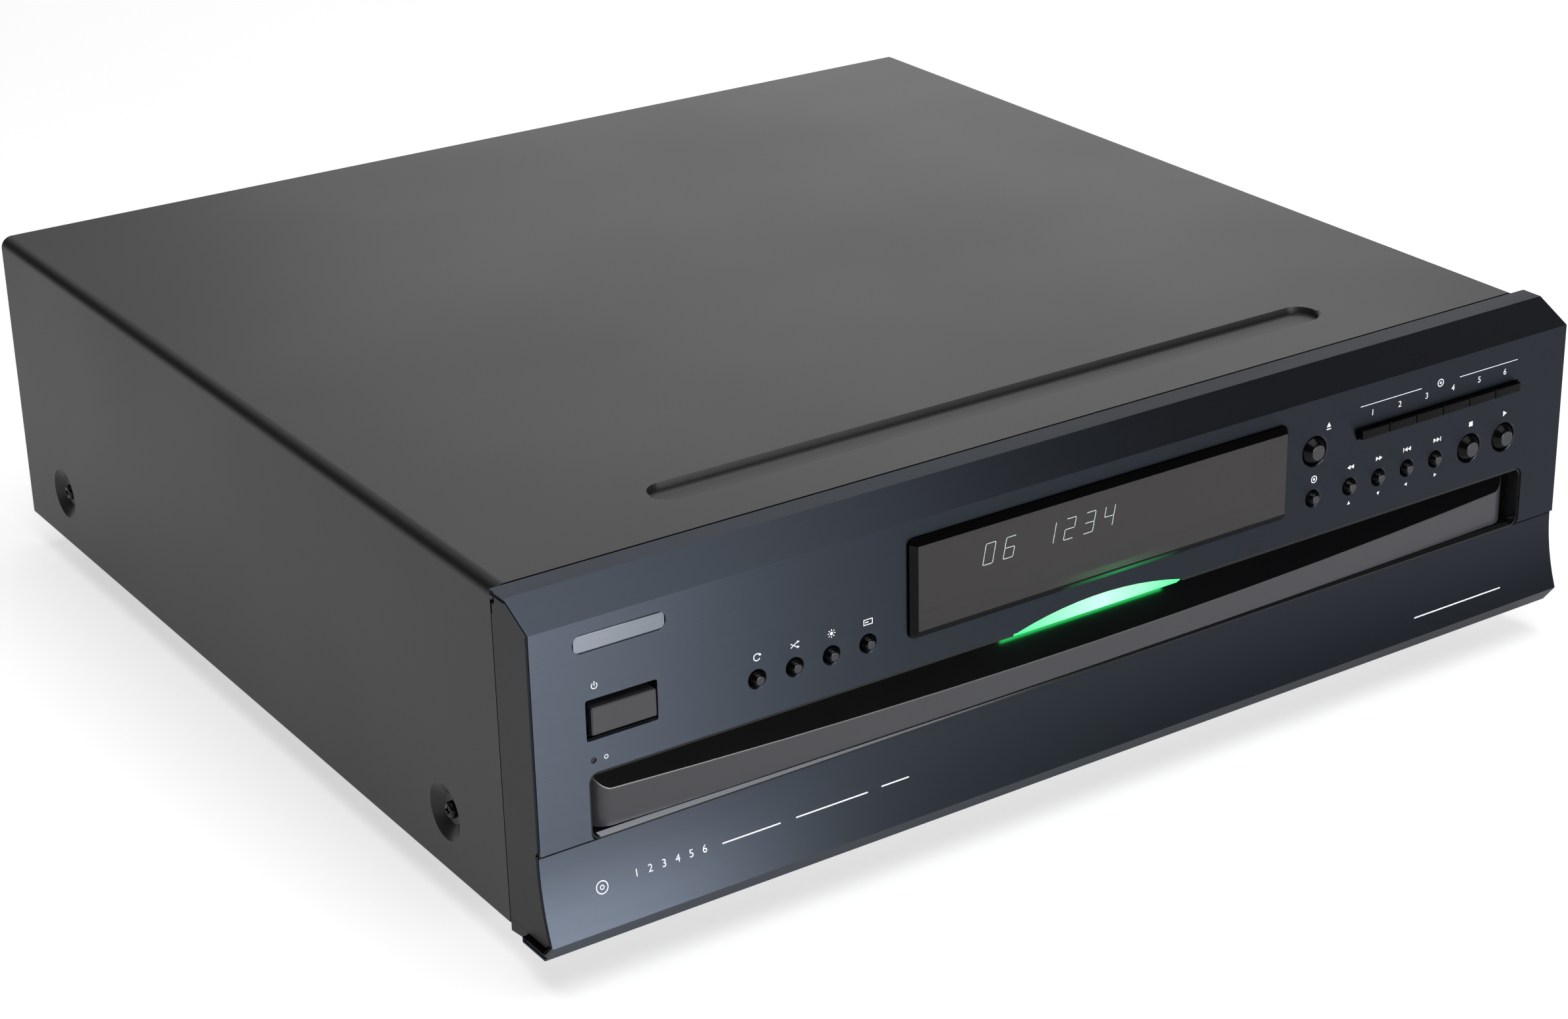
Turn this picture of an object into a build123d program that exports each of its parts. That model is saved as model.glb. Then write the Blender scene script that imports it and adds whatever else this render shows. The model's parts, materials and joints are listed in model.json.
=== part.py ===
"""A six-disc carousel changer: steel case, aluminium front plate, sliding tray with a turning disc table.

Millimetres. X runs to the right as seen from the front, Y to the back, Z up. The origin is on the surface
that the feet stand on, under the middle of the object.
"""
from build123d import *
import os
from math import atan2, cos, degrees, pi, radians, sin, sqrt, tan

os.makedirs("parts", exist_ok=True)

# Overall size
overall_width = 435.0
foot_height = 12.3
panel_height = 51.8       # flat face between the tray mouth and the bevel
back_space = 33.7         # from the carousel's edge to the back edge of the cover
jack_reach = 10.4         # how far the back sockets stand out of the panel
seat_gap = 0.3            # what a loose piece clears its seat by
running_gap = 0.05        # radial play of a shaft in its bore

# Front plate, an aluminium extrusion
plate_thickness = 2.0
strip_back = 22.6         # depth of the whole top strip and bevel
bevel_run = 13.9
bevel_drop = 7.1
step_z = 49.4             # where the flat upper face ends
step_depth = 1.2
lip_reach = 4.4           # how far the lower corner stands in front of the upper face
lip_z = 19.1
lip_undercut = 5.4        # how far the bottom edge lies behind the lower corner
return_depth = 15.0

# Tray mouth in the front plate
mouth_half = 199.4
mouth_bottom = 48.2
mouth_top = 72.1
mouth_radius = 3.5
bevel_foot_z = mouth_top + panel_height
overall_height = bevel_foot_z + bevel_drop

# Carousel
carousel_y = 202.0        # from the face to the turning axis
carousel_radius = 185.5
carousel_top = 68.6
carousel_bottom = 61.0
well_pitch = 123.0
well_count = 6
well_radius = 60.5
well_floor_z = 64.0
well_inner_radius = 57.0
well_inner_z = 62.8
slot_half = 20.5
hub_radius = 16.0
pivot_radius = 10.0
cap_radius = 17.5
cap_top = 69.2
spindle_y = carousel_y + well_pitch

# Cover
sheet = 1.0               # steel sheet of cover, chassis and back
cover_half = overall_width / 2 - 2.0
cover_top = overall_height - 0.6
cover_front = 24.6        # from the face to the front edge of the cover's top
cover_side_front = 26.2
cover_back = carousel_y + carousel_radius + back_space
cover_corner = 4.5
cover_lip = 3.9           # inward fold along the bottom edge of each side
emboss_half = 142.0
emboss_y = 54.4
emboss_width = 14.6
emboss_depth = 2.0
emboss_slope = 24.0
dish_radius = 10.0
dish_flat_radius = 5.2
dish_depth = 3.0
side_screw_y = (66.7, 383.0)
side_screw_z = 34.4

# Chassis and back
chassis_wall_height = 33.0
chassis_front_height = 29.7
back_inset = 3.0          # how far the back panel lies in from the cover's edge
back_face = cover_back - back_inset
overall_depth = lip_reach + back_face + jack_reach
face_y = -overall_depth / 2 + lip_reach

# Screws
screw_radius = 1.4
screw_hole = screw_radius + running_gap
cover_screw_length = 5.5
foot_screw_length = 12.0

# Feet
foot_radius = 24.0
foot_x = 165.0
foot_front_y = 55.0
foot_back_y = back_face - 50.2
foot_recess = 3.0

# Display window and light lens
window_x = (-80.3, 81.0)
window_z = (mouth_top + 10.6, bevel_foot_z - 5.7)
window_proud = 3.0
window_bevel = 2.0
window_radius = 2.4
lens_half = 35.4
lens_rise = 4.5
lens_x = -0.5
lens_lip_drop = 2.1
lens_back = 3.4

# Keys and buttons in the front
button_travel = 0.8
small_hole_radius = 3.2
small_proud = 1.8
big_hole_radius = 5.6
big_proud = 2.0
left_buttons = {
    "repeat_button": -137.9,
    "random_button": -123.8,
    "dimmer_button": -109.8,
    "display_button": -95.7,
}
right_buttons = {
    "rewind_button": 112.0,
    "forward_button": 125.9,
    "previous_button": 139.8,
    "next_button": 153.8,
}
left_row_z = mouth_top + 13.9
right_row_z = mouth_top + 14.5
skip_x = 94.5
eject_z = bevel_foot_z - 19.4
stop_x = 170.7
play_x = 188.1
power_recess_x = (-199.4, -174.1)
power_recess_z = (mouth_top + 11.0, mouth_top + 24.9)
power_side_gap = 1.2
power_top_gap = 2.3
power_proud = 1.5
power_travel = 1.2
select_x = (114.0, 194.0)
select_z = (bevel_foot_z - 20.1, bevel_foot_z - 15.8)
key_pitch = 13.08
key_gap = 0.3
key_proud = 2.4
led_x = -197.4
led_z = mouth_top + 4.3
led_radius = 1.0
badge_x = -186.5
badge_z = bevel_foot_z - 7.7
badge_length = 32.7
badge_height = 6.2
badge_depth = 0.6

# Moulded cheeks and front frame behind the plate
cheek_thickness = 3.0
cheek_gap = 1.0           # dark line between the plate's edge and the cheek
frame_front = 3.5
frame_thickness = 3.0
frame_half = cover_half - cheek_thickness - 0.5
frame_top = bevel_foot_z - 2.9
sleeve_wall = 0.8
sleeve_length = 11.0
sill_z = 49.4
sill_run = 4.5
sleeve_side_flare = 1.2
sleeve_sill_flare = 0.3

# Front circuit board
board_front = 14.0
board_thickness = 1.6
board_half = frame_half - 7.0
board_z = (mouth_top + 1.4, frame_top - 0.6)
switch_size = 6.0
switch_gap = 0.2          # left between a pressed key and its switch

# Tray door
door_half = mouth_half - 2.3
door_mid = 1.0            # from the face to the middle of the door's front
door_sagitta = 2.6
door_end_radius = 8.0
door_back = 13.0
door_bottom = 49.7
door_top = 69.6
door_brow_z = 58.6        # height of the front face at the middle
door_brow_slope = 1.7     # rise over run of the sloping top
door_pocket_front = 7.0

# Tray
tray_travel = 220.0
tray_half = door_half - 0.2
tray_bottom = 50.0
tray_top = 70.2
tray_back = carousel_y + carousel_radius + 3.5
tray_wall = 3.4
tray_end_wall = 2.0
tray_floor_z = 53.6
tray_floor = 1.6
notch_half = 24.0
groove_z = (tray_bottom + 9.9, tray_bottom + 14.1)
groove_depth = 1.9

# Carousel drive
table_module = 1.5
table_teeth = 72
table_gear_teeth = 18
table_gear_angle = 45.0
table_gear_z = (56.9, 59.9)
carousel_motor_radius = 13.0
carousel_motor_height = 10.4

# Tray drive
tray_gear_teeth = 48
tray_gear_x = -150.0
tray_gear_y = 56.0
tray_gear_z = (50.3, 53.2)
tray_pulley_radius = 22.0
pulley_z = (45.6, 49.6)
pulley_groove = 1.5
belt_size = 1.5
motor_offset = 62.0       # tray gear axis to motor axis
motor_pulley_radius = 5.2
motor_radius = 12.0

# Mechanism base
base_z = (20.0, 22.0)
base_post_radius = 5.0
bay_wall = 3.0
bay_wall_top = 49.3
bay_y = (spindle_y - 27.0, spindle_y + 86.0)

# Pickup lift
lift_travel = 11.1
cam_travel = 24.0
lift_half = 35.9
lift_z = (31.0, 42.0)
lift_y = (spindle_y - 25.0, spindle_y + 84.0)
lift_opening_y = (spindle_y + 8.0, spindle_y + 80.0)
lift_opening_half = 24.0
deck_thickness = 3.5
pin_radius = 2.0
pin_z = 34.0
pin_y = (spindle_y - 13.0, spindle_y + 55.0)
pin_clearance = 0.2
cam_thickness = 2.0
seat_z = 57.5             # the disc platter's seat, lowered
platter_radius = 15.0
cone_radius = 7.3

# Pickup sled
sled_travel = 35.0
sled_start = 23.0         # from the spindle to the lens at the inner end
sled_length = 30.0
sled_front = 10.4         # from the lens to the front edge of the sled
sled_margin = 6.0
rod_radius = 1.5
rod_x = 20.5
rod_z = 35.5
sled_module = 0.8
sled_gear_teeth = 20
sled_gear_y = spindle_y + 37.0

# Clamp over the playing place
clamp_z = 69.9
bridge_z = 73.6
bridge_sheet = 1.6
bridge_width = 38.0
bridge_half = tray_half + 9.6
clamp_hole_radius = 13.0

# Rails beside the tray
rail_inner = tray_half - 1.7
rail_web = (tray_half + 6.3, tray_half + 9.5)
rail_y = (20.0, tray_back + 4.0)
rail_top = 66.0

# Back sockets
rca_radius = 4.15
rca_block_depth = 12.0
socket_radius = 1.8
jack_low_z = 30.0
jack_high_z = 46.0


def front(y):
    """A plane that faces the front, y behind the upper face."""
    return Plane.XZ.offset(-(face_y + y))


def side(x):
    """A plane that faces right, at x."""
    return Plane.YZ.offset(x)


def level(z):
    """A level plane at z."""
    return Plane.XY.offset(z)


def block(x, y, z, mode=Mode.ADD):
    """A box between two limits on each axis, with y counted from the upper face."""
    with Locations(((x[0] + x[1]) / 2, face_y + (y[0] + y[1]) / 2, (z[0] + z[1]) / 2)):
        Box(x[1] - x[0], y[1] - y[0], z[1] - z[0], mode=mode)


def post(x, y, z, radius, mode=Mode.ADD):
    """An upright cylinder between two heights, with y counted from the upper face."""
    with Locations((x, face_y + y, (z[0] + z[1]) / 2)):
        Cylinder(radius, z[1] - z[0], mode=mode)


def round_y(x, z, y, radius, mode=Mode.ADD):
    """A cylinder along Y, with y counted from the upper face."""
    with Locations((x, face_y + (y[0] + y[1]) / 2, z)):
        Cylinder(radius, y[1] - y[0], rotation=(90, 0, 0), mode=mode)


def round_x(y, z, x, radius, mode=Mode.ADD):
    """A cylinder along X, with y counted from the upper face."""
    with Locations(((x[0] + x[1]) / 2, face_y + y, z)):
        Cylinder(radius, x[1] - x[0], rotation=(0, 90, 0), mode=mode)


def window_cut(x, z, y, radius, mode=Mode.SUBTRACT):
    """A rectangle with rounded corners seen from the front, carried from y[0] back to y[1]."""
    with BuildSketch(front(y[1]), mode=Mode.PRIVATE) as outline:
        with Locations(((x[0] + x[1]) / 2, (z[0] + z[1]) / 2)):
            RectangleRounded(x[1] - x[0], z[1] - z[0], radius)
    extrude(outline.sketch, amount=y[1] - y[0], mode=mode)


def save(piece, name):
    """Names a finished piece and writes it."""
    piece.label = name
    export_step(piece, f"parts/{name}.step")


def involute_tooth(module, teeth, backlash):
    """Half-angle of a tooth at each radius from root to tip, as (radius, angle) pairs."""
    pitch = module * teeth / 2
    base = pitch * cos(radians(20))
    half = (pi * module / 2 - backlash) / 2 / pitch + tan(radians(20)) - radians(20)
    tip = pitch + module * 0.95
    low = max(base, pitch - module * 1.2)
    pairs = []
    for i in range(5):
        radius = low + (tip - low) * i / 4
        roll = sqrt(max((radius / base) ** 2 - 1, 0))
        pairs.append((radius, half - (roll - atan2(roll, 1))))
    return pairs


def gear_points(module, teeth, phase, backlash=0.12):
    """Outline points of a spur gear whose tooth number nought stands at the angle phase, in radians."""
    root = module * teeth / 2 - module * 1.25
    pairs = involute_tooth(module, teeth, backlash)
    points = []
    for i in range(teeth):
        middle = phase + 2 * pi * i / teeth
        foot = pairs[0][1]
        points.append((root, middle - foot))
        points += [(r, middle - a) for r, a in pairs]
        points += [(r, middle + a) for r, a in reversed(pairs)]
        points.append((root, middle + foot))
    return [(r * cos(a), r * sin(a)) for r, a in points]


def rack_points(module, start, length, phase, backlash=0.12):
    """Outline of a rack along +Y whose teeth point to +X from the pitch line at x = 0."""
    pitch = pi * module
    half = (pitch / 2 - backlash) / 2
    top, bottom = module * 0.95, module * 1.2
    slope = tan(radians(20))
    points = [(-bottom - 2 * module, start), (-bottom, start)]
    first = int((start - phase) / pitch) + 1
    last = int((start + length - phase) / pitch) - 1
    for i in range(first, last + 1):
        middle = phase + i * pitch
        points += [(-bottom, middle - half - slope * bottom), (top, middle - half + slope * top)]
        points += [(top, middle + half - slope * top), (-bottom, middle + half + slope * bottom)]
    points += [(-bottom, start + length), (-bottom - 2 * module, start + length)]
    return points


# Top cover: one folded sheet with an embossed strip and four screw dishes
cover_length = cover_back - cover_front
cover_bottom = foot_height + sheet
back_face = cover_back - back_inset
with BuildPart() as top_cover:
    with BuildSketch(front(cover_back)):
        with Locations((0, (cover_top + cover_bottom) / 2)):
            Rectangle(2 * cover_half, cover_top - cover_bottom)
    extrude(amount=cover_length)
    fillet(top_cover.edges().filter_by(Axis.Y).group_by(Axis.Z)[-1], cover_corner)
    with BuildSketch(front(cover_back + 1)) as inside:
        with Locations((0, (cover_top - sheet + cover_bottom) / 2)):
            Rectangle(2 * (cover_half - sheet), cover_top - sheet - cover_bottom)
        fillet(inside.vertices().group_by(Axis.Y)[-1], cover_corner - sheet)
    extrude(amount=cover_length + 2, mode=Mode.SUBTRACT)
    for hand in (-1, 1):
        inner = hand * (cover_half - sheet - cover_lip)
        outer = hand * (cover_half - sheet / 2)
        lip_y = (cover_side_front, back_face - sheet - seat_gap)
        block(sorted((inner, outer)), lip_y, (cover_bottom, cover_bottom + sheet))
        edge = sorted((hand * (cover_half - 2 * cover_corner), hand * (cover_half + 1)))
        below = (cover_bottom - 1, cover_top - cover_corner)
        block(edge, (cover_front - 1, cover_side_front), below, Mode.SUBTRACT)
        for screw_y in side_screw_y:
            inward = (0, -90 * hand, 0)
            with Locations((hand * (cover_half - sheet - dish_depth / 2), face_y + screw_y, side_screw_z)):
                Cone(dish_radius + sheet, dish_flat_radius + sheet, dish_depth, rotation=inward)
            with Locations((hand * (cover_half - dish_depth / 2), face_y + screw_y, side_screw_z)):
                Cone(dish_radius, dish_flat_radius, dish_depth, rotation=inward, mode=Mode.SUBTRACT)
            reach = sorted((hand * cover_half, hand * (cover_half - 2 * dish_depth)))
            round_x(screw_y, side_screw_z, reach, 1.7, Mode.SUBTRACT)
    with BuildSketch(level(cover_top - emboss_depth - sheet)):
        with Locations((0, face_y + emboss_y)):
            SlotOverall(2 * emboss_half, emboss_width)
    extrude(amount=emboss_depth + sheet / 2)
    with BuildSketch(level(cover_top)):
        with Locations((0, face_y + emboss_y)):
            SlotOverall(2 * emboss_half, emboss_width)
    extrude(amount=-emboss_depth, taper=emboss_slope, mode=Mode.SUBTRACT)
save(top_cover.part, "top_cover")

# Chassis: the bottom pan with a wall on each side and at the front
chassis_half = cover_half - sheet - cover_lip - seat_gap
chassis_front = return_depth + 2
wall_top = foot_height + chassis_wall_height
with BuildPart() as chassis_base:
    floor_z = (foot_height, foot_height + sheet)
    block((-chassis_half, chassis_half), (chassis_front, back_face - sheet), floor_z)
    block((-chassis_half, chassis_half), (chassis_front, chassis_front + sheet),
          (foot_height, foot_height + chassis_front_height))
    for hand in (-1, 1):
        wall = sorted((hand * (chassis_half - sheet), hand * chassis_half))
        block(wall, (chassis_front, back_face - sheet), (foot_height, wall_top))
        for screw_y in side_screw_y:
            through = (wall[0] - 1, wall[1] + 1)
            round_x(screw_y, side_screw_z, through, screw_hole, Mode.SUBTRACT)
        for foot_y in (foot_front_y, foot_back_y):
            post(hand * foot_x, foot_y, (foot_height - 1, foot_height + 2), screw_hole, Mode.SUBTRACT)
    with BuildSketch(level(foot_height)):
        with Locations((-110, face_y + 200), (120, face_y + 170)):
            with GridLocations(12, 0, 8, 1):
                SlotOverall(50, 4, rotation=90)
    extrude(amount=sheet, mode=Mode.SUBTRACT)
save(chassis_base.part, "chassis_base")

# Feet: hollow turned feet with a screw boss
with BuildPart() as feet:
    for hand in (-1, 1):
        for foot_y in (foot_front_y, foot_back_y):
            with BuildSketch(Plane.XZ.offset(-(face_y + foot_y))) as profile:
                with BuildLine():
                    Polyline(
                        (hand * foot_x, foot_recess),
                        (hand * foot_x + 15.0, foot_recess),
                        (hand * foot_x + 15.0, 0),
                        (hand * foot_x + foot_radius - 3.0, 0),
                        (hand * foot_x + foot_radius - 1.5, 1.5),
                        (hand * foot_x + foot_radius, foot_height),
                        (hand * foot_x + foot_radius - 2.5, foot_height),
                        (hand * foot_x + foot_radius - 4.0, 5.5),
                        (hand * foot_x + 6.0, 5.5),
                        (hand * foot_x + 6.0, foot_height),
                        (hand * foot_x, foot_height),
                        close=True,
                    )
                make_face()
            revolve(axis=Axis((hand * foot_x, face_y + foot_y, 0), (0, 0, 1)))
            post(hand * foot_x, foot_y, (0, foot_height + 1), screw_hole, Mode.SUBTRACT)
save(feet.part, "feet")

# Front plate: the extruded section, then its openings
slope = bevel_drop / bevel_run
normal = sqrt(bevel_drop ** 2 + bevel_run ** 2)
inner_y = plate_thickness * bevel_drop / normal
inner_z = overall_height - bevel_drop - plate_thickness * bevel_run / normal
inner_bevel_foot = inner_z + (plate_thickness - inner_y) * slope
inner_bevel_head = inner_y + (overall_height - plate_thickness - inner_z) / slope
curve_top = (step_depth, step_z - 0.6)
curve_foot = (-lip_reach, lip_z)
curve_rise = curve_top[1] - lip_z
curve_radius = (curve_rise ** 2 + (step_depth + lip_reach) ** 2) / (2 * (step_depth + lip_reach))
curve_angle = curve_rise / curve_radius
curve_middle = (
    step_depth - curve_radius * (1 - cos(curve_angle / 2)),
    curve_top[1] - curve_radius * sin(curve_angle / 2),
)
with BuildPart() as front_plate:
    with BuildSketch(side(-overall_width / 2)):
        with BuildLine():
            Polyline(
                (face_y + curve_top[0], curve_top[1]),
                (face_y, step_z),
                (face_y, bevel_foot_z),
                (face_y + bevel_run, overall_height),
                (face_y + strip_back, overall_height),
                (face_y + strip_back, overall_height - plate_thickness),
                (face_y + inner_bevel_head, overall_height - plate_thickness),
                (face_y + plate_thickness, inner_bevel_foot),
                (face_y + plate_thickness, step_z + 1),
                (face_y + curve_top[0] + plate_thickness, curve_top[1]),
            )
            ThreePointArc(
                (face_y + curve_top[0] + plate_thickness, curve_top[1]),
                (face_y + curve_middle[0] + plate_thickness, curve_middle[1]),
                (face_y + curve_foot[0] + plate_thickness, curve_foot[1]),
            )
            Polyline(
                (face_y + curve_foot[0] + plate_thickness, curve_foot[1]),
                (face_y + lip_undercut - lip_reach + plate_thickness / 2, foot_height + plate_thickness),
                (face_y + return_depth, foot_height + plate_thickness),
                (face_y + return_depth, foot_height),
                (face_y + lip_undercut - lip_reach, foot_height),
                (face_y + curve_foot[0], curve_foot[1]),
            )
            ThreePointArc(
                (face_y + curve_foot[0], curve_foot[1]),
                (face_y + curve_middle[0], curve_middle[1]),
                (face_y + curve_top[0], curve_top[1]),
            )
        make_face()
    extrude(amount=overall_width)
    cut = (-1, 2 * plate_thickness)
    window_cut((-mouth_half, mouth_half), (mouth_bottom, mouth_top), cut, mouth_radius)
    window_cut(window_x, window_z, cut, window_radius)
    window_cut(power_recess_x, power_recess_z, cut, 0.8)
    window_cut(select_x, select_z, cut, 0.5)
    lens_radius = (lens_half ** 2 + lens_rise ** 2) / (2 * lens_rise)
    with BuildSketch(front(2 * plate_thickness)) as lens_notch:
        with Locations((lens_x, mouth_top + lens_rise - lens_radius)):
            Circle(lens_radius)
        with Locations((0, mouth_top - lens_radius)):
            Rectangle(overall_width, 2 * lens_radius - 1, mode=Mode.SUBTRACT)
    extrude(amount=2 * plate_thickness + 1, mode=Mode.SUBTRACT)
    with BuildSketch(front(2 * plate_thickness)):
        for x in left_buttons.values():
            with Locations((x, left_row_z)):
                Circle(small_hole_radius)
        for x in (skip_x, *right_buttons.values()):
            with Locations((x, right_row_z)):
                Circle(small_hole_radius)
        with Locations((stop_x, right_row_z), (play_x, right_row_z), (skip_x, eject_z)):
            Circle(big_hole_radius)
        with Locations((led_x, led_z)):
            Circle(led_radius)
    extrude(amount=2 * plate_thickness + 1, mode=Mode.SUBTRACT)
    rims = front_plate.edges().filter_by(GeomType.CIRCLE)
    rims = rims.filter_by_position(Axis.Y, face_y - 0.01, face_y + 0.01)
    chamfer([rim for rim in rims if rim.is_closed and rim.radius > led_radius + 0.1], 0.3)
    with BuildSketch(front(badge_depth)):
        with Locations((badge_x, badge_z)):
            SlotOverall(badge_length, badge_height)
    extrude(amount=badge_depth, mode=Mode.SUBTRACT)
save(front_plate.part, "front_plate")

# End cheeks: moulded side pieces behind each end of the plate, level with the cover's sides
for hand, name in ((-1, "cheek_left"), (1, "cheek_right")):
    with BuildPart() as cheek:
        with BuildSketch(side(min(hand * cover_half, hand * (cover_half - cheek_thickness)))):
            with BuildLine():
                Polyline(
                    (face_y + step_depth + plate_thickness + cheek_gap, curve_top[1] - 1),
                    (face_y + step_depth + plate_thickness + cheek_gap, step_z + 2.6),
                    (face_y + plate_thickness + cheek_gap, step_z + 3.6),
                    (face_y + plate_thickness + cheek_gap, inner_bevel_foot - cheek_gap),
                    (face_y + inner_bevel_head + cheek_gap / 2, overall_height - plate_thickness - seat_gap),
                    (face_y + cover_side_front - 0.6, overall_height - plate_thickness - seat_gap),
                    (face_y + cover_side_front - 0.6, foot_height + plate_thickness + seat_gap),
                    (face_y + lip_undercut - lip_reach + plate_thickness + cheek_gap,
                     foot_height + plate_thickness + seat_gap),
                    (face_y + curve_foot[0] + plate_thickness + cheek_gap, curve_foot[1]),
                )
                ThreePointArc(
                    (face_y + curve_foot[0] + plate_thickness + cheek_gap, curve_foot[1]),
                    (face_y + curve_middle[0] + plate_thickness + cheek_gap, curve_middle[1]),
                    (face_y + step_depth + plate_thickness + cheek_gap, curve_top[1] - 1),
                )
            make_face()
        extrude(amount=cheek_thickness)
        across = sorted((hand * (cover_half - 2 * cheek_thickness), hand * overall_width / 2))
        above = (cover_top - cover_corner - 1, overall_height)
        block(across, (cover_front - 0.6, cover_side_front), above, Mode.SUBTRACT)
    save(cheek.part, name)

# Moulded front frame: a panel behind the plate, the sleeve round the tray mouth and the button guides
frame_back = frame_front + frame_thickness
guide = {"small": small_hole_radius - 0.15, "big": big_hole_radius - 0.15}
sleeve_outer = (mouth_half - seat_gap, mouth_bottom + seat_gap, mouth_top - seat_gap)
sleeve_half = door_half + 0.4
sleeve_top = sleeve_outer[2] - sleeve_wall
board_screws = [(x, board_z[0] + 5.5) for x in (-160.0, -60.0, 60.0, 150.0)]
board_screws += [(x, board_z[1] - 2.4) for x in (-150.0, -90.0, 90.0, 165.0)]
frame_bottom = foot_height + plate_thickness + seat_gap
with BuildPart() as front_frame:
    block((-frame_half, frame_half), (frame_front, frame_back), (frame_bottom, frame_top))
    for hand in (-1, 1):
        rim = sorted((hand * frame_half, hand * (frame_half - 2)))
        block(rim, (frame_front, chassis_front - 1), (frame_bottom, frame_top))
    block((-frame_half, frame_half), (frame_front, chassis_front - 1), (frame_bottom, frame_bottom + 2))
    window_cut((-sleeve_outer[0], sleeve_outer[0]), (sleeve_outer[1], sleeve_outer[2]), (0.6, sleeve_length),
               mouth_radius, Mode.ADD)
    window_cut((-sleeve_half, sleeve_half), (sill_z, sleeve_top), (-1, sleeve_length + 1), 0.8)
    with BuildSketch(front(0.5), mode=Mode.PRIVATE) as flare_mouth:
        with Locations((0, (sill_z - sleeve_sill_flare + sleeve_top) / 2)):
            wide = 2 * (sleeve_half + sleeve_side_flare)
            RectangleRounded(wide, sleeve_top - sill_z + sleeve_sill_flare, 3.4)
    with BuildSketch(front(sill_run), mode=Mode.PRIVATE) as flare_root:
        with Locations((0, (sill_z + sleeve_top) / 2)):
            RectangleRounded(2 * sleeve_half, sleeve_top - sill_z, 0.8)
    loft([flare_root.sketch.face(), flare_mouth.sketch.face()], mode=Mode.SUBTRACT)
    block((lens_x - lens_half - 1, lens_x + lens_half + 1), (0, frame_back + 1),
          (sleeve_top - 0.5, mouth_top + lens_rise + 1), Mode.SUBTRACT)
    view_z = (window_z[0] + 3, window_z[1] - 3)
    window_cut((window_x[0] + 4, window_x[1] - 4), view_z, (0, frame_back + 1), 2.0)
    block((power_recess_x[0] + 0.4, power_recess_x[1] - 0.4), (0, frame_back + 1),
          (power_recess_z[0] + 0.4, power_recess_z[1] - 0.4), Mode.SUBTRACT)
    block((select_x[0] + 0.2, select_x[1] - 0.2), (0, frame_back + 1),
          (select_z[0] + 0.1, select_z[1] - 0.1), Mode.SUBTRACT)
    for x in left_buttons.values():
        round_y(x, left_row_z, (0, frame_back + 1), guide["small"], Mode.SUBTRACT)
    for x in (skip_x, *right_buttons.values()):
        round_y(x, right_row_z, (0, frame_back + 1), guide["small"], Mode.SUBTRACT)
    for x, z in ((stop_x, right_row_z), (play_x, right_row_z), (skip_x, eject_z)):
        round_y(x, z, (0, frame_back + 1), guide["big"], Mode.SUBTRACT)
    round_y(led_x, led_z, (0, frame_back + 1), led_radius + 0.1, Mode.SUBTRACT)
    for x, z in board_screws:
        round_y(x, z, (frame_back, board_front), 3.0)
save(front_frame.part, "front_frame")

# Display window: a bevelled smoked block with a flange behind it
with BuildPart() as display_window:
    with BuildSketch(front(plate_thickness)):
        with Locations((sum(window_x) / 2, sum(window_z) / 2)):
            wide, high = window_x[1] - window_x[0] - 0.4, window_z[1] - window_z[0] - 0.4
            RectangleRounded(wide, high, window_radius - 0.2)
    extrude(amount=plate_thickness + window_proud)
    chamfer(display_window.faces().sort_by(Axis.Y)[0].edges(), window_bevel)
    window_cut((window_x[0] - 1.5, window_x[1] + 1.5), (window_z[0] - 1.5, window_z[1] + 1.5),
               (plate_thickness + 0.1, frame_front), 1.5, Mode.ADD)
    block((window_x[0] + 4.3, window_x[1] - 4.3), (plate_thickness, plate_thickness + 0.3),
          (window_z[0] + 3.3, window_z[1] - 3.3))
save(display_window.part, "display_window")

# Light lens over the tray mouth, with a lip that leans back under the plate
with BuildPart() as light_lens:
    with BuildSketch(side(lens_x - lens_half + 0.2)):
        with BuildLine():
            Polyline(
                (face_y, mouth_top + lens_rise),
                (face_y, mouth_top),
                (face_y + lens_lip_drop, mouth_top - lens_lip_drop),
                (face_y + lens_back, mouth_top - lens_lip_drop),
                (face_y + lens_back, mouth_top + 0.3),
                (face_y + frame_back + 2, mouth_top + 0.3),
                (face_y + frame_back + 2, mouth_top + lens_rise),
                close=True,
            )
        make_face()
    extrude(amount=2 * lens_half - 0.4)
    with BuildSketch(front(frame_back + 3)):
        with Locations((lens_x, mouth_top + lens_rise - lens_radius)):
            Circle(lens_radius - 0.15)
    extrude(amount=frame_back + 4, mode=Mode.INTERSECT)
save(light_lens.part, "light_lens")

# Tray door: bowed front, rounded ends and a sloping brow, hollow behind
door_end = door_mid + door_sagitta
with BuildPart() as tray_door:
    with BuildSketch(level(door_bottom)) as plan:
        with BuildLine():
            ThreePointArc(
                (-door_half, face_y + door_end), (0, face_y + door_mid), (door_half, face_y + door_end)
            )
            Polyline(
                (door_half, face_y + door_end),
                (door_half, face_y + door_back),
                (-door_half, face_y + door_back),
                (-door_half, face_y + door_end),
            )
        make_face()
        fillet(plan.vertices().group_by(Axis.Y)[0], door_end_radius)
    extrude(amount=door_top - door_bottom)
    with BuildSketch(side(-door_half - 1)):
        with BuildLine():
            Polyline(
                (face_y - 1, door_brow_z - door_brow_slope * (1 + door_mid)),
                (face_y + door_back + 1, door_brow_z + door_brow_slope * (door_back + 1 - door_mid)),
                (face_y - 1, door_brow_z + door_brow_slope * (door_back + 1 - door_mid)),
                close=True,
            )
        make_face()
    extrude(amount=2 * door_half + 2, mode=Mode.SUBTRACT)
    pocket_top = door_brow_z + door_brow_slope * (door_pocket_front - door_mid) - 3.5
    for bay in range(6):
        width = (2 * door_half - 16) / 6
        left = -door_half + 8 + bay * width
        pocket = (door_pocket_front, door_back + 1)
        block((left + 1, left + width - 1), pocket, (door_bottom + 2.2, pocket_top), Mode.SUBTRACT)
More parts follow.
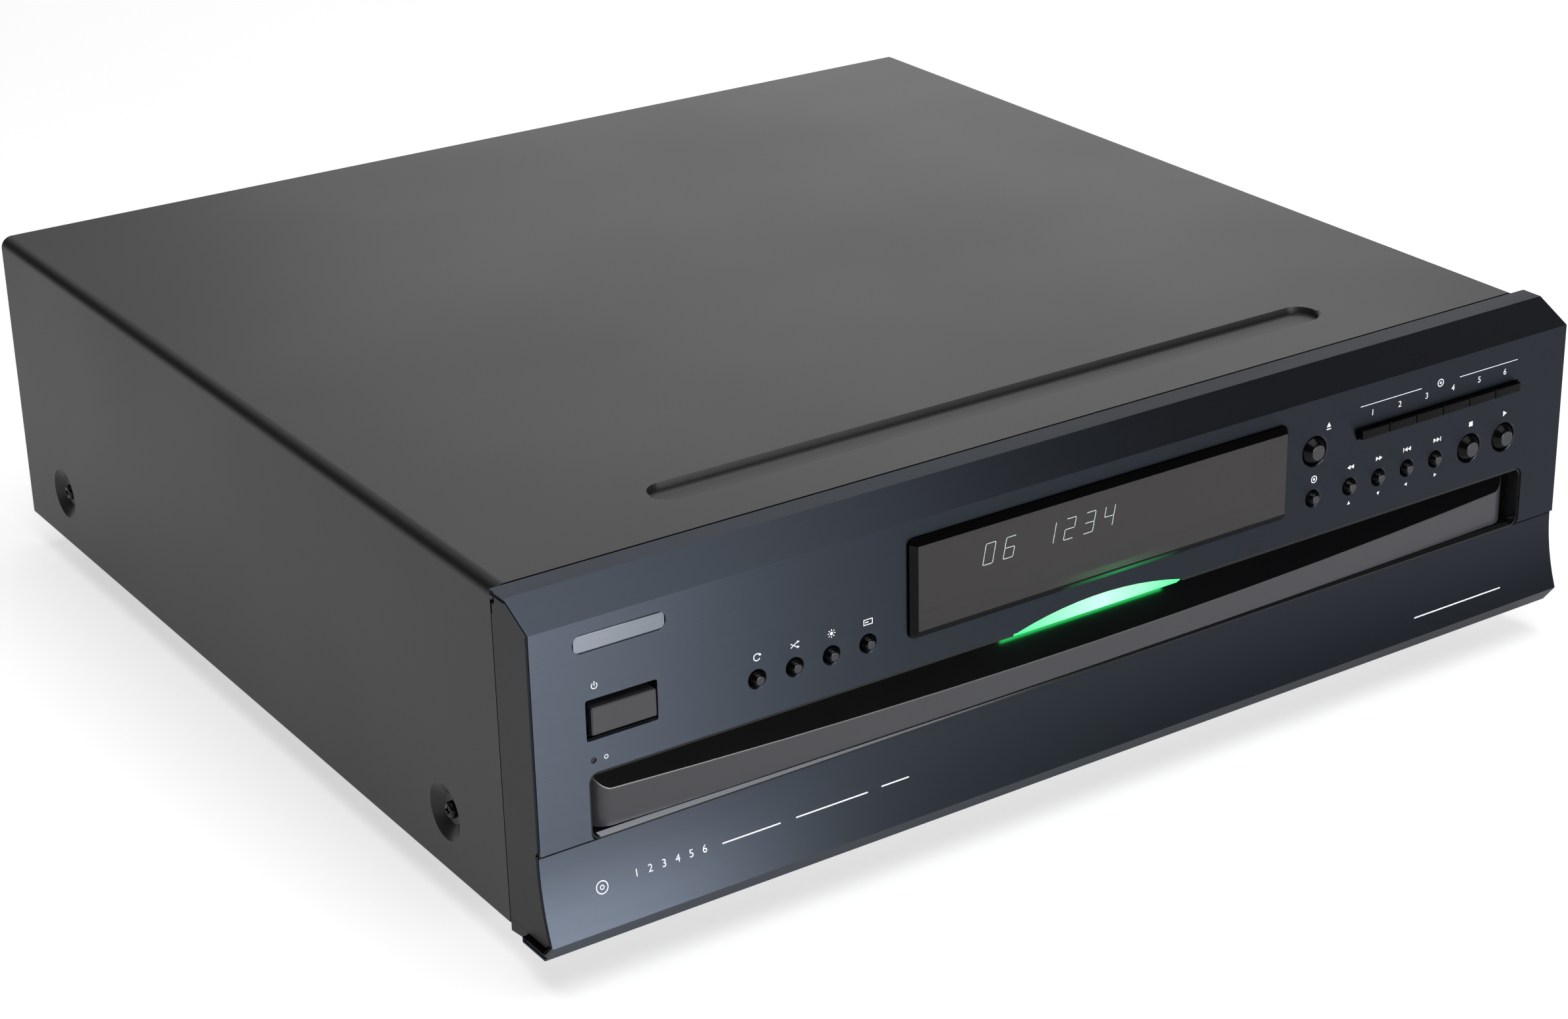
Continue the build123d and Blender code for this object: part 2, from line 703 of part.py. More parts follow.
save(tray_door.part, "tray_door")

# Tray: floor, walls with a groove for the rails, rack, pivot and glide pads
floor_top = tray_floor_z + tray_floor
table_pitch = table_module * table_teeth / 2
table_gear_pitch = table_module * table_gear_teeth / 2
gear_reach = table_pitch + table_gear_pitch
table_gear_x = gear_reach * sin(radians(table_gear_angle))
table_gear_y = carousel_y + gear_reach * cos(radians(table_gear_angle))
tray_gear_pitch = table_module * tray_gear_teeth / 2
rack_x = tray_gear_x - tray_gear_pitch
rack_margin = 14.0
rack_start = tray_gear_y - rack_margin
rack_length = tray_travel + 2 * rack_margin
pivot_top = 67.6
with BuildPart() as tray:
    block((-tray_half, tray_half), (door_back, tray_back), (tray_bottom, tray_top))
    inner_half = tray_half - tray_wall
    between = (-inner_half, inner_half)
    over, under = (floor_top, tray_top + 1), (tray_bottom - 1, tray_floor_z)
    block(between, (door_back + tray_end_wall, tray_back - tray_end_wall), over, Mode.SUBTRACT)
    block(between, (door_back + tray_end_wall, tray_back + 1), under, Mode.SUBTRACT)
    block(between, (door_back - 1, door_back + 3), (door_top - seat_gap, tray_top + 1), Mode.SUBTRACT)
    notch_y = (spindle_y - slot_half - 2, tray_back + 1)
    block((-notch_half, notch_half), notch_y, (tray_bottom - 1, tray_top + 1), Mode.SUBTRACT)
    for hand in (-1, 1):
        groove = sorted((hand * (tray_half - groove_depth), hand * (tray_half + 1)))
        block(groove, (rail_y[0] - 2, tray_back + 1), groove_z, Mode.SUBTRACT)
    post(0, carousel_y, (floor_top, floor_top + 0.4), hub_radius)
    post(0, carousel_y, (floor_top, pivot_top), pivot_radius)
    post(0, carousel_y, (floor_top + 2, pivot_top + 1), 1.4, Mode.SUBTRACT)
    post(table_gear_x, table_gear_y, (tray_floor_z - 1, floor_top + 1), 3.0, Mode.SUBTRACT)
    with Locations((0, face_y + carousel_y, (floor_top + carousel_bottom - seat_gap) / 2)):
        with PolarLocations(well_pitch + 40, 8, start_angle=22.5):
            Cylinder(2.5, carousel_bottom - seat_gap - floor_top)
    with BuildSketch(level(tray_gear_z[0] - 0.2)):
        with BuildLine():
            Polyline(
                [(rack_x + x, face_y + y) for x, y in
                 rack_points(table_module, rack_start, rack_length, tray_gear_y + pi * table_module / 2)],
                close=True,
            )
        make_face()
    extrude(amount=tray_floor_z - tray_gear_z[0] + 0.2)
    rack_back = rack_x - table_module * 3.2
    block((-inner_half, rack_back + 0.1), (rack_start, rack_start + rack_length),
          (tray_gear_z[0] - 0.2, tray_floor_z))
save(tray.part, "tray")

# Carousel: the turning disc table with its ring gear
ring_z = (table_gear_z[0] - 0.2, carousel_bottom)
with BuildPart() as carousel:
    post(0, carousel_y, (carousel_bottom, carousel_top), carousel_radius)
    with BuildSketch(level(carousel_bottom)):
        with Locations((0, face_y + carousel_y)):
            Circle(carousel_radius - 1.6)
            Circle(well_pitch - well_radius + 1.6, mode=Mode.SUBTRACT)
            with PolarLocations(well_pitch, well_count, start_angle=90):
                Circle(well_radius + 1.6, mode=Mode.SUBTRACT)
    extrude(amount=carousel_top - carousel_bottom - 1.8, mode=Mode.SUBTRACT)
    with Locations((0, face_y + carousel_y, 0)):
        with PolarLocations(well_pitch, well_count, start_angle=90):
            with Locations((0, 0, (well_floor_z + carousel_top + 1) / 2)):
                Cylinder(well_radius, carousel_top + 1 - well_floor_z, mode=Mode.SUBTRACT)
            with Locations((0, 0, (well_inner_z + carousel_top + 1) / 2)):
                Cylinder(well_inner_radius, carousel_top + 1 - well_inner_z, mode=Mode.SUBTRACT)
            slot_run = carousel_radius - well_pitch + 5
            with Locations((0, 0, carousel_bottom)):
                Cylinder(slot_half, 20, mode=Mode.SUBTRACT)
            with Locations((slot_run / 2, 0, carousel_bottom)):
                Box(slot_run, 2 * slot_half, 20, mode=Mode.SUBTRACT)
    post(0, carousel_y, (carousel_bottom - 1, carousel_top - 1.8), table_pitch - 9)
    post(0, carousel_y, (carousel_bottom - 1.5, carousel_top - 1.8), table_pitch - 9, Mode.SUBTRACT)
    with BuildSketch(level(ring_z[0])):
        with Locations((0, face_y + carousel_y)):
            with BuildLine(mode=Mode.PRIVATE) as teeth_line:
                Polyline(gear_points(table_module, table_teeth, pi / 4), close=True)
            add(make_face(teeth_line.line, mode=Mode.PRIVATE))
            Circle(table_pitch - 6, mode=Mode.SUBTRACT)
    extrude(amount=ring_z[1] - ring_z[0])
    post(0, carousel_y, (floor_top + 0.6, pivot_top - seat_gap), hub_radius)
    post(0, carousel_y, (pivot_top - seat_gap, carousel_top + 1), cap_radius + 1, Mode.SUBTRACT)
    post(0, carousel_y, (floor_top, carousel_top + 1), pivot_radius + running_gap, Mode.SUBTRACT)
save(carousel.part, "carousel")

# Cap that holds the carousel on its pivot, with its screw
with BuildPart() as carousel_cap:
    post(0, carousel_y, (pivot_top, cap_top), cap_radius)
    fillet(carousel_cap.edges().sort_by(Axis.Z)[-1], 0.8)
    post(0, carousel_y, (pivot_top - 8, pivot_top), 1.35)
save(carousel_cap.part, "carousel_cap")

# Gear that turns the carousel, on the shaft of its motor
half_tooth = pi / table_gear_teeth
with BuildPart() as carousel_gear:
    with BuildSketch(level(table_gear_z[0])):
        with Locations((table_gear_x, face_y + table_gear_y)):
            with BuildLine(mode=Mode.PRIVATE) as teeth_line:
                Polyline(gear_points(table_module, table_gear_teeth, pi / 4 + pi + half_tooth), close=True)
            add(make_face(teeth_line.line, mode=Mode.PRIVATE))
            Circle(1.5 + running_gap, mode=Mode.SUBTRACT)
    extrude(amount=table_gear_z[1] - table_gear_z[0])
save(carousel_gear.part, "carousel_gear")

with BuildPart() as carousel_motor:
    can_bottom = tray_floor_z - carousel_motor_height
    post(table_gear_x, table_gear_y, (can_bottom, tray_floor_z), carousel_motor_radius)
    fillet(carousel_motor.edges().filter_by(GeomType.CIRCLE).sort_by(Axis.Z)[0], 1.2)
    post(table_gear_x, table_gear_y, (tray_floor_z, table_gear_z[1] + 0.2), 1.5)
save(carousel_motor.part, "carousel_motor")

# Rails on both sides of the tray
with BuildPart() as tray_rails:
    for hand in (-1, 1):
        web = sorted((hand * rail_web[0], hand * rail_web[1]))
        block(web, rail_y, (foot_height + sheet, rail_top))
        foot_edge = sorted((hand * (rail_web[0] - 8), hand * rail_web[1]))
        block(foot_edge, rail_y, (foot_height + sheet, foot_height + sheet + 2))
        ledge = sorted((hand * (tray_half - tray_wall - 1), hand * rail_web[0]))
        block(ledge, rail_y, (tray_bottom - seat_gap - 2, tray_bottom - seat_gap))
        rib = sorted((hand * rail_inner, hand * rail_web[0]))
        block(rib, rail_y, (groove_z[0] + seat_gap, groove_z[1] - seat_gap))
        boss = sorted((hand * (tray_half + 1.2), hand * (bridge_half + 1)))
        block(boss, (spindle_y - 9, spindle_y + 9), (rail_top - 4, bridge_z))
save(tray_rails.part, "tray_rails")

# Mechanism base: an L of moulded plate with posts, the lift bay and the tray gear's post
post_places = [(-176, 34), (-176, 82), (-110, 34), (-30, 34), (-30, 150), (20, 150), (-50, 250), (50, 250),
               (-52, 404), (52, 404)]
bay_half = lift_half + 0.4
with BuildPart() as mech_base:
    block((-186, 30), (26, 100), base_z)
    block((-36, 30), (99, 245), base_z)
    block((-58, 58), (240, bay_y[1] + 1), base_z)
    for x, y in post_places:
        post(x, y, (foot_height + sheet, base_z[0]), base_post_radius)
    for hand in (-1, 1):
        wall = sorted((hand * bay_half, hand * (bay_half + bay_wall)))
        block(wall, bay_y, (base_z[1], bay_wall_top))
        for y in pin_y:
            slot_r = pin_radius + pin_clearance
            reach = (wall[0] - 1, wall[1] + 1)
            round_x(y, pin_z, reach, slot_r, Mode.SUBTRACT)
            round_x(y, pin_z + lift_travel, reach, slot_r, Mode.SUBTRACT)
            block(reach, (y - slot_r, y + slot_r), (pin_z, pin_z + lift_travel), Mode.SUBTRACT)
        bar = (bay_y[0] - 16, bay_y[0] + cam_travel + 2)
        block((wall[0] - 1, wall[1] + 1), bar, (base_z[1], base_z[1] + 4), Mode.SUBTRACT)
    post(tray_gear_x, tray_gear_y, (base_z[1], pulley_z[0] - seat_gap), 7.0)
    post(tray_gear_x, tray_gear_y, (base_z[1], tray_floor_z - 0.7), 4.0)
save(mech_base.part, "mech_base")

# Tray gear: wheel, hub and belt pulley in one moulding
with BuildPart() as tray_gear:
    with BuildSketch(level(tray_gear_z[0])):
        with Locations((tray_gear_x, face_y + tray_gear_y)):
            with BuildLine(mode=Mode.PRIVATE) as teeth_line:
                Polyline(gear_points(table_module, tray_gear_teeth, pi), close=True)
            add(make_face(teeth_line.line, mode=Mode.PRIVATE))
    extrude(amount=tray_gear_z[1] - tray_gear_z[0])
    post(tray_gear_x, tray_gear_y, (pulley_z[0], pulley_z[1]), tray_pulley_radius)
    post(tray_gear_x, tray_gear_y, (pulley_z[1], tray_gear_z[0]), 9.0)
    belt_z = sum(pulley_z) / 2
    with BuildSketch(Plane.XZ.offset(-(face_y + tray_gear_y))):
        with Locations((tray_gear_x + tray_pulley_radius, belt_z)):
            Rectangle(2 * pulley_groove, belt_size + 0.7)
    revolve(axis=Axis((tray_gear_x, face_y + tray_gear_y, 0), (0, 0, 1)), mode=Mode.SUBTRACT)
    post(tray_gear_x, tray_gear_y, (pulley_z[0] - 1, tray_gear_z[1] + 1), 4.0 + running_gap, Mode.SUBTRACT)
save(tray_gear.part, "tray_gear")

# Tray motor, its pulley and the belt
motor_x = tray_gear_x + motor_offset
with BuildPart() as tray_motor:
    post(motor_x, tray_gear_y, (base_z[1], pulley_z[0] - 1), motor_radius)
    fillet(tray_motor.edges().filter_by(GeomType.CIRCLE).sort_by(Axis.Z)[-1], 1.5)
    post(motor_x, tray_gear_y, (pulley_z[0] - 1, pulley_z[1] + 0.3), 1.0)
save(tray_motor.part, "tray_motor")

with BuildPart() as motor_pulley:
    post(motor_x, tray_gear_y, pulley_z, motor_pulley_radius)
    with BuildSketch(Plane.XZ.offset(-(face_y + tray_gear_y))):
        with Locations((motor_x + motor_pulley_radius, belt_z)):
            Rectangle(2 * pulley_groove, belt_size + 0.7)
    revolve(axis=Axis((motor_x, face_y + tray_gear_y, 0), (0, 0, 1)), mode=Mode.SUBTRACT)
    post(motor_x, tray_gear_y, (pulley_z[0] - 1, pulley_z[1] + 1), 1.0 + running_gap, Mode.SUBTRACT)
save(motor_pulley.part, "motor_pulley")

belt_inner = tray_pulley_radius - pulley_groove + seat_gap
belt_inner_small = motor_pulley_radius - pulley_groove + seat_gap
with BuildPart() as drive_belt:
    for grow, mode in ((belt_size, Mode.ADD), (0, Mode.SUBTRACT)):
        with BuildSketch(level(belt_z - belt_size / 2)):
            with Locations((tray_gear_x, face_y + tray_gear_y)):
                Circle(belt_inner + grow)
            with Locations((motor_x, face_y + tray_gear_y)):
                Circle(belt_inner_small + grow)
            make_hull()
        extrude(amount=belt_size, mode=mode)
save(drive_belt.part, "drive_belt")

# Pickup lift: a frame that rises on four pins
with BuildPart() as lift_frame:
    block((-lift_half, lift_half), lift_y, lift_z)
    opening = (-lift_opening_half, lift_opening_half)
    block(opening, lift_opening_y, (lift_z[0] - 1, lift_z[1] + 1), Mode.SUBTRACT)
    deck = lift_z[1] - deck_thickness
    block(opening, (lift_y[0] + 3, lift_opening_y[0] + 1), (lift_z[0] - 1, deck), Mode.SUBTRACT)
    sled_pitch = sled_module * sled_gear_teeth / 2
    sled_rack_x = 16 + 1.25 * sled_module + 0.8
    sled_gear_x = sled_rack_x + sled_pitch
    rack_low = sled_gear_y - sled_travel - sled_margin
    block((14.0, lift_opening_half), (rack_low - 3, lift_opening_y[0] + 1), (lift_z[1] - 4, lift_z[1] + 1),
          Mode.SUBTRACT)
    gear_space = sled_pitch + sled_module + 0.6
    post(sled_gear_x, sled_gear_y, (lift_z[0] + 7.6, lift_z[1] + 1), gear_space, Mode.SUBTRACT)
    post(sled_gear_x, sled_gear_y, (lift_z[0] + 7.6, lift_z[1] - 0.2), 1.5)
    for hand in (-1, 1):
        reach = (lift_y[0] + 1, lift_y[1] - 1)
        round_y(hand * rod_x, rod_z, reach, rod_radius + 0.02, Mode.SUBTRACT)
        for y in pin_y:
            pin_x = sorted((hand * (lift_half - 2), hand * (bay_half + bay_wall + cam_thickness + 1)))
            round_x(y, pin_z, pin_x, pin_radius)
    post(0, spindle_y, (lift_z[0], lift_z[1] + 1), 3.0, Mode.SUBTRACT)
save(lift_frame.part, "lift_frame")

with BuildPart() as guide_rods:
    for hand in (-1, 1):
        round_y(hand * rod_x, rod_z, (lift_y[0] + 1, lift_y[1] - 1), rod_radius)
save(guide_rods.part, "guide_rods")

# Cam slider: two plates with sloping slots that raise the lift's pins, joined under it
cam_inner = bay_half + bay_wall + 0.4
cam_bottom = base_z[1] + seat_gap
with BuildPart() as lift_cam:
    for hand in (-1, 1):
        plate = sorted((hand * cam_inner, hand * (cam_inner + cam_thickness)))
        block(plate, (pin_y[0] - cam_travel - 6, pin_y[1] + 7), (cam_bottom, bay_wall_top - 0.5))
        for y in pin_y:
            start = (face_y + y, pin_z)
            end = (face_y + y - cam_travel, pin_z + lift_travel)
            with BuildSketch(side(plate[0] - 1)):
                middle = ((start[0] + end[0]) / 2, (start[1] + end[1]) / 2)
                tilt = degrees(atan2(end[1] - start[1], end[0] - start[0]))
                with Locations(middle):
                    run = sqrt(cam_travel ** 2 + lift_travel ** 2)
                    SlotCenterToCenter(run, 2 * (pin_radius + pin_clearance), rotation=tilt)
            extrude(amount=cam_thickness + 2, mode=Mode.SUBTRACT)
    bar_y = (pin_y[0] - cam_travel - 5, pin_y[0] - cam_travel + 7)
    block((-cam_inner - 0.5, cam_inner + 0.5), bar_y, (cam_bottom, cam_bottom + 2.4))
save(lift_cam.part, "lift_cam")

# Sled with the lens, its rack, gear, and the spindle
lens_y = spindle_y + sled_start
sled_y = (lens_y - sled_front, lens_y - sled_front + sled_length)
sled_gear_z = (lift_z[0] + 8.4, lift_z[1] - 0.6)
sled_rack_length = sled_travel + 2 * sled_margin
with BuildPart() as laser_pickup:
    block((-rod_x - 2.6, rod_x + 2.6), sled_y, (rod_z - 2.6, rod_z + 2.8))
    block((-16, 16), sled_y, (rod_z + 2.5, 48.0))
    fillet(laser_pickup.edges().filter_by(Axis.Z).group_by(Axis.Z)[-1], 2.0)
    post(0, lens_y, (48.0, 53.5), 7.5)
    post(0, lens_y, (53.5, seat_z - 1.6), 4.0)
    with BuildSketch(level(sled_gear_z[0])):
        with BuildLine():
            Polyline(
                [(sled_rack_x + x, face_y + y) for x, y in
                 rack_points(sled_module, rack_low, sled_rack_length, sled_gear_y + pi * sled_module / 2)],
                close=True,
            )
        make_face()
    extrude(amount=sled_gear_z[1] - sled_gear_z[0])
    block((14.6, sled_rack_x - 1.5 * sled_module), (rack_low, rack_low + sled_rack_length), sled_gear_z)
    for hand in (-1, 1):
        round_y(hand * rod_x, rod_z, (sled_y[0] - 1, sled_y[1] + 1), rod_radius + running_gap, Mode.SUBTRACT)
save(laser_pickup.part, "laser_pickup")

with BuildPart() as sled_gear:
    with BuildSketch(level(sled_gear_z[0])):
        with Locations((sled_gear_x, face_y + sled_gear_y)):
            with BuildLine(mode=Mode.PRIVATE) as teeth_line:
                Polyline(gear_points(sled_module, sled_gear_teeth, pi), close=True)
            add(make_face(teeth_line.line, mode=Mode.PRIVATE))
            Circle(1.5 + running_gap, mode=Mode.SUBTRACT)
    extrude(amount=sled_gear_z[1] - sled_gear_z[0])
save(sled_gear.part, "sled_gear")

with BuildPart() as spindle_motor:
    post(0, spindle_y, (deck - 13, deck), 12.0)
    fillet(spindle_motor.edges().filter_by(GeomType.CIRCLE).sort_by(Axis.Z)[0], 1.2)
    post(0, spindle_y, (deck, seat_z - 0.5), 1.0)
save(spindle_motor.part, "spindle_motor")

with BuildPart() as disc_platter:
    post(0, spindle_y, (lift_z[1] + 0.5, seat_z - 1.6), 5.0)
    post(0, spindle_y, (seat_z - 1.6, seat_z), platter_radius)
    with Locations((0, face_y + spindle_y, seat_z + 0.9)):
        Cone(cone_radius, cone_radius - 1.3, 1.8)
    post(0, spindle_y, (lift_z[1], seat_z - 0.4), 1.0 + running_gap, Mode.SUBTRACT)
save(disc_platter.part, "disc_platter")

# Clamp bridge and the loose clamper in its hole
with BuildPart() as clamp_bridge:
    bridge_y = (spindle_y - bridge_width / 2, spindle_y + bridge_width / 2)
    block((-bridge_half, bridge_half), bridge_y, (bridge_z, bridge_z + bridge_sheet))
    fillet(clamp_bridge.edges().filter_by(Axis.Z), 3.0)
    for edge_y in (bridge_y[0], bridge_y[1] - bridge_sheet):
        block((-bridge_half + 4, bridge_half - 4), (edge_y, edge_y + bridge_sheet), (bridge_z, bridge_z + 9))
    post(0, spindle_y, (bridge_z - 1, bridge_z + 10), clamp_hole_radius, Mode.SUBTRACT)
save(clamp_bridge.part, "clamp_bridge")

with BuildPart() as clamper:
    post(0, spindle_y, (clamp_z, clamp_z + 2.6), 17.0)
    flange_z = bridge_z + bridge_sheet + seat_gap
    post(0, spindle_y, (clamp_z + 2.6, flange_z), 10.0)
    post(0, spindle_y, (flange_z, flange_z + 1.8), 15.0)
    post(0, spindle_y, (clamp_z - 1, clamp_z + 1.8), cone_radius + 1.0, Mode.SUBTRACT)
save(clamper.part, "clamper")

# Front board with display tube, lamps and key switches
with BuildPart() as front_board:
    block((-board_half, board_half), (board_front, board_front + board_thickness), board_z)
save(front_board.part, "front_board")

with BuildPart() as display_tube:
    tube_x = (window_x[0] + 9, window_x[1] - 9)
    block(tube_x, (frame_back + 0.4, board_front), (window_z[0] + 5.5, window_z[1] - 5.5))
    fillet(display_tube.edges().filter_by(Axis.Y), 1.5)
save(display_tube.part, "display_tube")

with BuildPart() as indicator_leds:
    round_y(led_x, led_z, (0.4, 9), led_radius - 0.1)
    round_y(led_x, led_z, (9, board_front), 1.6)
    for x in (-14.0, 13.0):
        round_y(x, led_z + 0.2, (frame_back + 2.3, board_front), 1.6)
save(indicator_leds.part, "indicator_leds")

key_rear = board_front - 3.5 - switch_gap
keys_x = [sum(select_x) / 2 + (i - 2.5) * key_pitch for i in range(6)]
select_mid = sum(select_z) / 2
switch_places = (
    [(x, left_row_z, button_travel) for x in left_buttons.values()]
    + [(x, right_row_z, button_travel) for x in (skip_x, *right_buttons.values(), stop_x, play_x)]
    + [(skip_x, eject_z, button_travel)]
    + [(sum(power_recess_x) / 2, sum(power_recess_z) / 2, power_travel)]
    + [(x, select_mid, button_travel) for x in keys_x]
)
with BuildPart() as key_switches:
    for x, z, travel in switch_places:
        half = switch_size / 2
        block((x - half, x + half), (board_front - 3.5, board_front), (z - half, z + half))
save(key_switches.part, "key_switches")


def turned_button(x, z, hole_radius, proud):
    """A round button: a shallow cone in front, a guide behind and a stem that reaches towards its switch."""
    radius = hole_radius - 0.3
    face_radius = hole_radius * 0.56
    with BuildPart() as button:
        with BuildSketch(Plane.XY.offset(z)):
            with BuildLine():
                Polyline(
                    (x, face_y - proud),
                    (x + face_radius - 0.3, face_y - proud),
                    (x + face_radius, face_y - proud + 0.3),
                    (x + radius, face_y + 1.0),
                    (x + radius, face_y + frame_back),
                    (x + 1.6, face_y + frame_back),
                    (x + 1.6, face_y + key_rear - button_travel),
                    (x, face_y + key_rear - button_travel),
                    close=True,
                )
            make_face()
        revolve(axis=Axis((x, face_y, z), (0, 1, 0)))
    return button.part


for name, x in left_buttons.items():
    save(turned_button(x, left_row_z, small_hole_radius, small_proud), name)
for name, x in right_buttons.items():
    save(turned_button(x, right_row_z, small_hole_radius, small_proud), name)
save(turned_button(skip_x, right_row_z, small_hole_radius, small_proud), "skip_button")
save(turned_button(skip_x, eject_z, big_hole_radius, big_proud), "eject_button")
save(turned_button(stop_x, right_row_z, big_hole_radius, big_proud), "stop_button")
save(turned_button(play_x, right_row_z, big_hole_radius, big_proud), "play_button")

# Power button: a flat bar with bevelled edges
with BuildPart() as power_button:
    window_cut((power_recess_x[0] + power_side_gap, power_recess_x[1] - power_side_gap),
               (power_recess_z[0] + power_top_gap, power_recess_z[1] - power_top_gap),
               (-power_proud, frame_back), 0.6, Mode.ADD)
    chamfer(power_button.faces().sort_by(Axis.Y)[0].edges(), 0.4)
    round_y(sum(power_recess_x) / 2, sum(power_recess_z) / 2, (frame_back, key_rear - power_travel), 2.0)
save(power_button.part, "power_button")

# Six disc keys side by side in the slot
for number, x in enumerate(keys_x, start=1):
    with BuildPart() as disc_key:
        half = (key_pitch - key_gap) / 2
        key_z = (select_z[0] + 0.3, select_z[1] - 0.3)
        window_cut((x - half, x + half), key_z, (-key_proud, frame_back), 0.5, Mode.ADD)
        fillet(disc_key.faces().sort_by(Axis.Y)[0].edges(), 0.4)
        round_y(x, select_mid, (frame_back, key_rear - button_travel), 1.4)
    save(disc_key.part, f"disc_key_{number}")

# Back panel with its holes
panel_z = (foot_height + sheet, cover_top - sheet - seat_gap)
panel_half = cover_half - sheet - seat_gap
rca_places = [(178.0, jack_low_z), (178.0, jack_high_z), (150.0, jack_low_z)]
small_places = [(124.0, jack_low_z), (124.0, jack_high_z)]
optical_place = (150.0, jack_high_z)
cord_place = (-172.0, 38.0)
back_screws = [(x, 122.0) for x in (-200.0, -70.0, 70.0, 200.0)] + [(x, 60.0) for x in (-206.0, 206.0)]
with BuildPart() as rear_panel:
    block((-panel_half, panel_half), (back_face - sheet, back_face), panel_z)
    corner = cover_corner - sheet
    fillet(rear_panel.edges().filter_by(Axis.Y).group_by(Axis.Z)[-1], corner)
    for x, z in rca_places:
        round_y(x, z, (back_face - 2, back_face + 1), 5.6, Mode.SUBTRACT)
    for x, z in small_places:
        round_y(x, z, (back_face - 2, back_face + 1), 4.2, Mode.SUBTRACT)
    block((optical_place[0] - 4.8, optical_place[0] + 4.8), (back_face - 2, back_face + 1),
          (optical_place[1] - 4.8, optical_place[1] + 4.8), Mode.SUBTRACT)
    round_y(*cord_place, (back_face - 2, back_face + 1), 7.2, Mode.SUBTRACT)
    for x, z in back_screws:
        round_y(x, z, (back_face - 2, back_face + 1), 1.7, Mode.SUBTRACT)
    window_cut((-100, 60), (40, 52), (back_face - sheet / 2, back_face + 1), 1.0)
save(rear_panel.part, "rear_panel")

# Sockets on the back
jack_end = overall_depth / 2 - face_y
socket_block_y = (back_face - sheet - rca_block_depth, back_face - sheet)
with BuildPart() as rca_jacks:
    for x, z in rca_places:
        block((x - 6.5, x + 6.5), socket_block_y, (z - 6.5, z + 6.5))
        round_y(x, z, (back_face - sheet, back_face + 1.4), 5.4)
        round_y(x, z, (back_face + 1.4, jack_end), rca_radius)
        round_y(x, z, (jack_end - 8.0, jack_end + 1), 1.6, Mode.SUBTRACT)
save(rca_jacks.part, "rca_jacks")

with BuildPart() as small_jacks:
    for x, z in small_places:
        block((x - 5, x + 5), socket_block_y, (z - 5, z + 5))
        round_y(x, z, (back_face - sheet, back_face + 0.8), 4.0)
        round_y(x, z, (back_face - rca_block_depth, back_face + 2), socket_radius, Mode.SUBTRACT)
    x, z = optical_place
    block((x - 6.5, x + 6.5), socket_block_y, (z - 6.5, z + 6.5))
    block((x - 4.6, x + 4.6), (back_face - sheet, back_face + 1.0), (z - 4.6, z + 4.6))
    block((x - 3.0, x + 3.0), (back_face - 7, back_face + 2), (z - 3.0, z + 3.0), Mode.SUBTRACT)
save(small_jacks.part, "small_jacks")

with BuildPart() as strain_relief:
    round_y(*cord_place, (back_face - 6, back_face), 7.0)
    round_y(*cord_place, (back_face, back_face + 1.6), 9.0)
    with Locations((cord_place[0], face_y + back_face + 1.6 + 3.0, cord_place[1])):
        Cone(6.5, 5.0, 6.0, rotation=(-90, 0, 0))
    round_y(*cord_place, (back_face - 7, back_face + 9), 3.2, Mode.SUBTRACT)
save(strain_relief.part, "strain_relief")

# Power transformer: laminated core with the winding through it
trafo_x, trafo_y, trafo_z = -140.0, 320.0, foot_height + sheet
with BuildPart() as transformer:
    block((trafo_x - 33, trafo_x + 33), (trafo_y - 10, trafo_y + 10), (trafo_z, trafo_z + 34))
    block((trafo_x - 21, trafo_x + 21), (trafo_y - 20, trafo_y + 20), (trafo_z + 6, trafo_z + 28))
    block((trafo_x - 42, trafo_x + 42), (trafo_y - 10, trafo_y + 10), (trafo_z, trafo_z + 1.5))
save(transformer.part, "transformer")

# Main circuit board on its posts, with the larger components
main_x, main_y = (72.0, 188.0), (250.0, 398.0)
main_z = foot_height + sheet + 6
capacitors = [(90, 270, 8, 20), (110, 270, 8, 20), (90, 292, 5, 14), (104, 292, 5, 14)]
capacitors += [(170, 380, 4, 9), (156, 380, 4, 9)]
chips = [(140, 300, 22, 22), (110, 340, 14, 14), (160, 345, 12, 8), (140, 270, 10, 26)]
with BuildPart() as main_board:
    block(main_x, main_y, (main_z, main_z + board_thickness))
    for x in (main_x[0] + 6, main_x[1] - 6):
        for y in (main_y[0] + 6, main_y[1] - 6):
            post(x, y, (foot_height + sheet, main_z), 3.0)
    for x, y, radius, tall in capacitors:
        post(x, y, (main_z + board_thickness, main_z + board_thickness + tall), radius)
    for x, y, wide, deep in chips:
        chip_z = (main_z + board_thickness, main_z + board_thickness + 2.8)
        block((x - wide / 2, x + wide / 2), (y - deep / 2, y + deep / 2), chip_z)
save(main_board.part, "main_board")


def screw_solid(length, head_radius=3.0, head_height=2.0):
    """A pan-head screw along +Z with its head at the origin's upper side and a cross in it."""
    with BuildPart() as screw:
        Cylinder(head_radius, head_height, align=(Align.CENTER, Align.CENTER, Align.MIN))
        fillet(screw.edges().filter_by(GeomType.CIRCLE).sort_by(Axis.Z)[-1], 0.9)
        with Locations((0, 0, head_height)):
            Box(3.4, 0.7, 2.0, mode=Mode.SUBTRACT)
            Box(0.7, 3.4, 2.0, mode=Mode.SUBTRACT)
        Cylinder(screw_radius, length, align=(Align.CENTER, Align.CENTER, Align.MAX))
    return screw.part


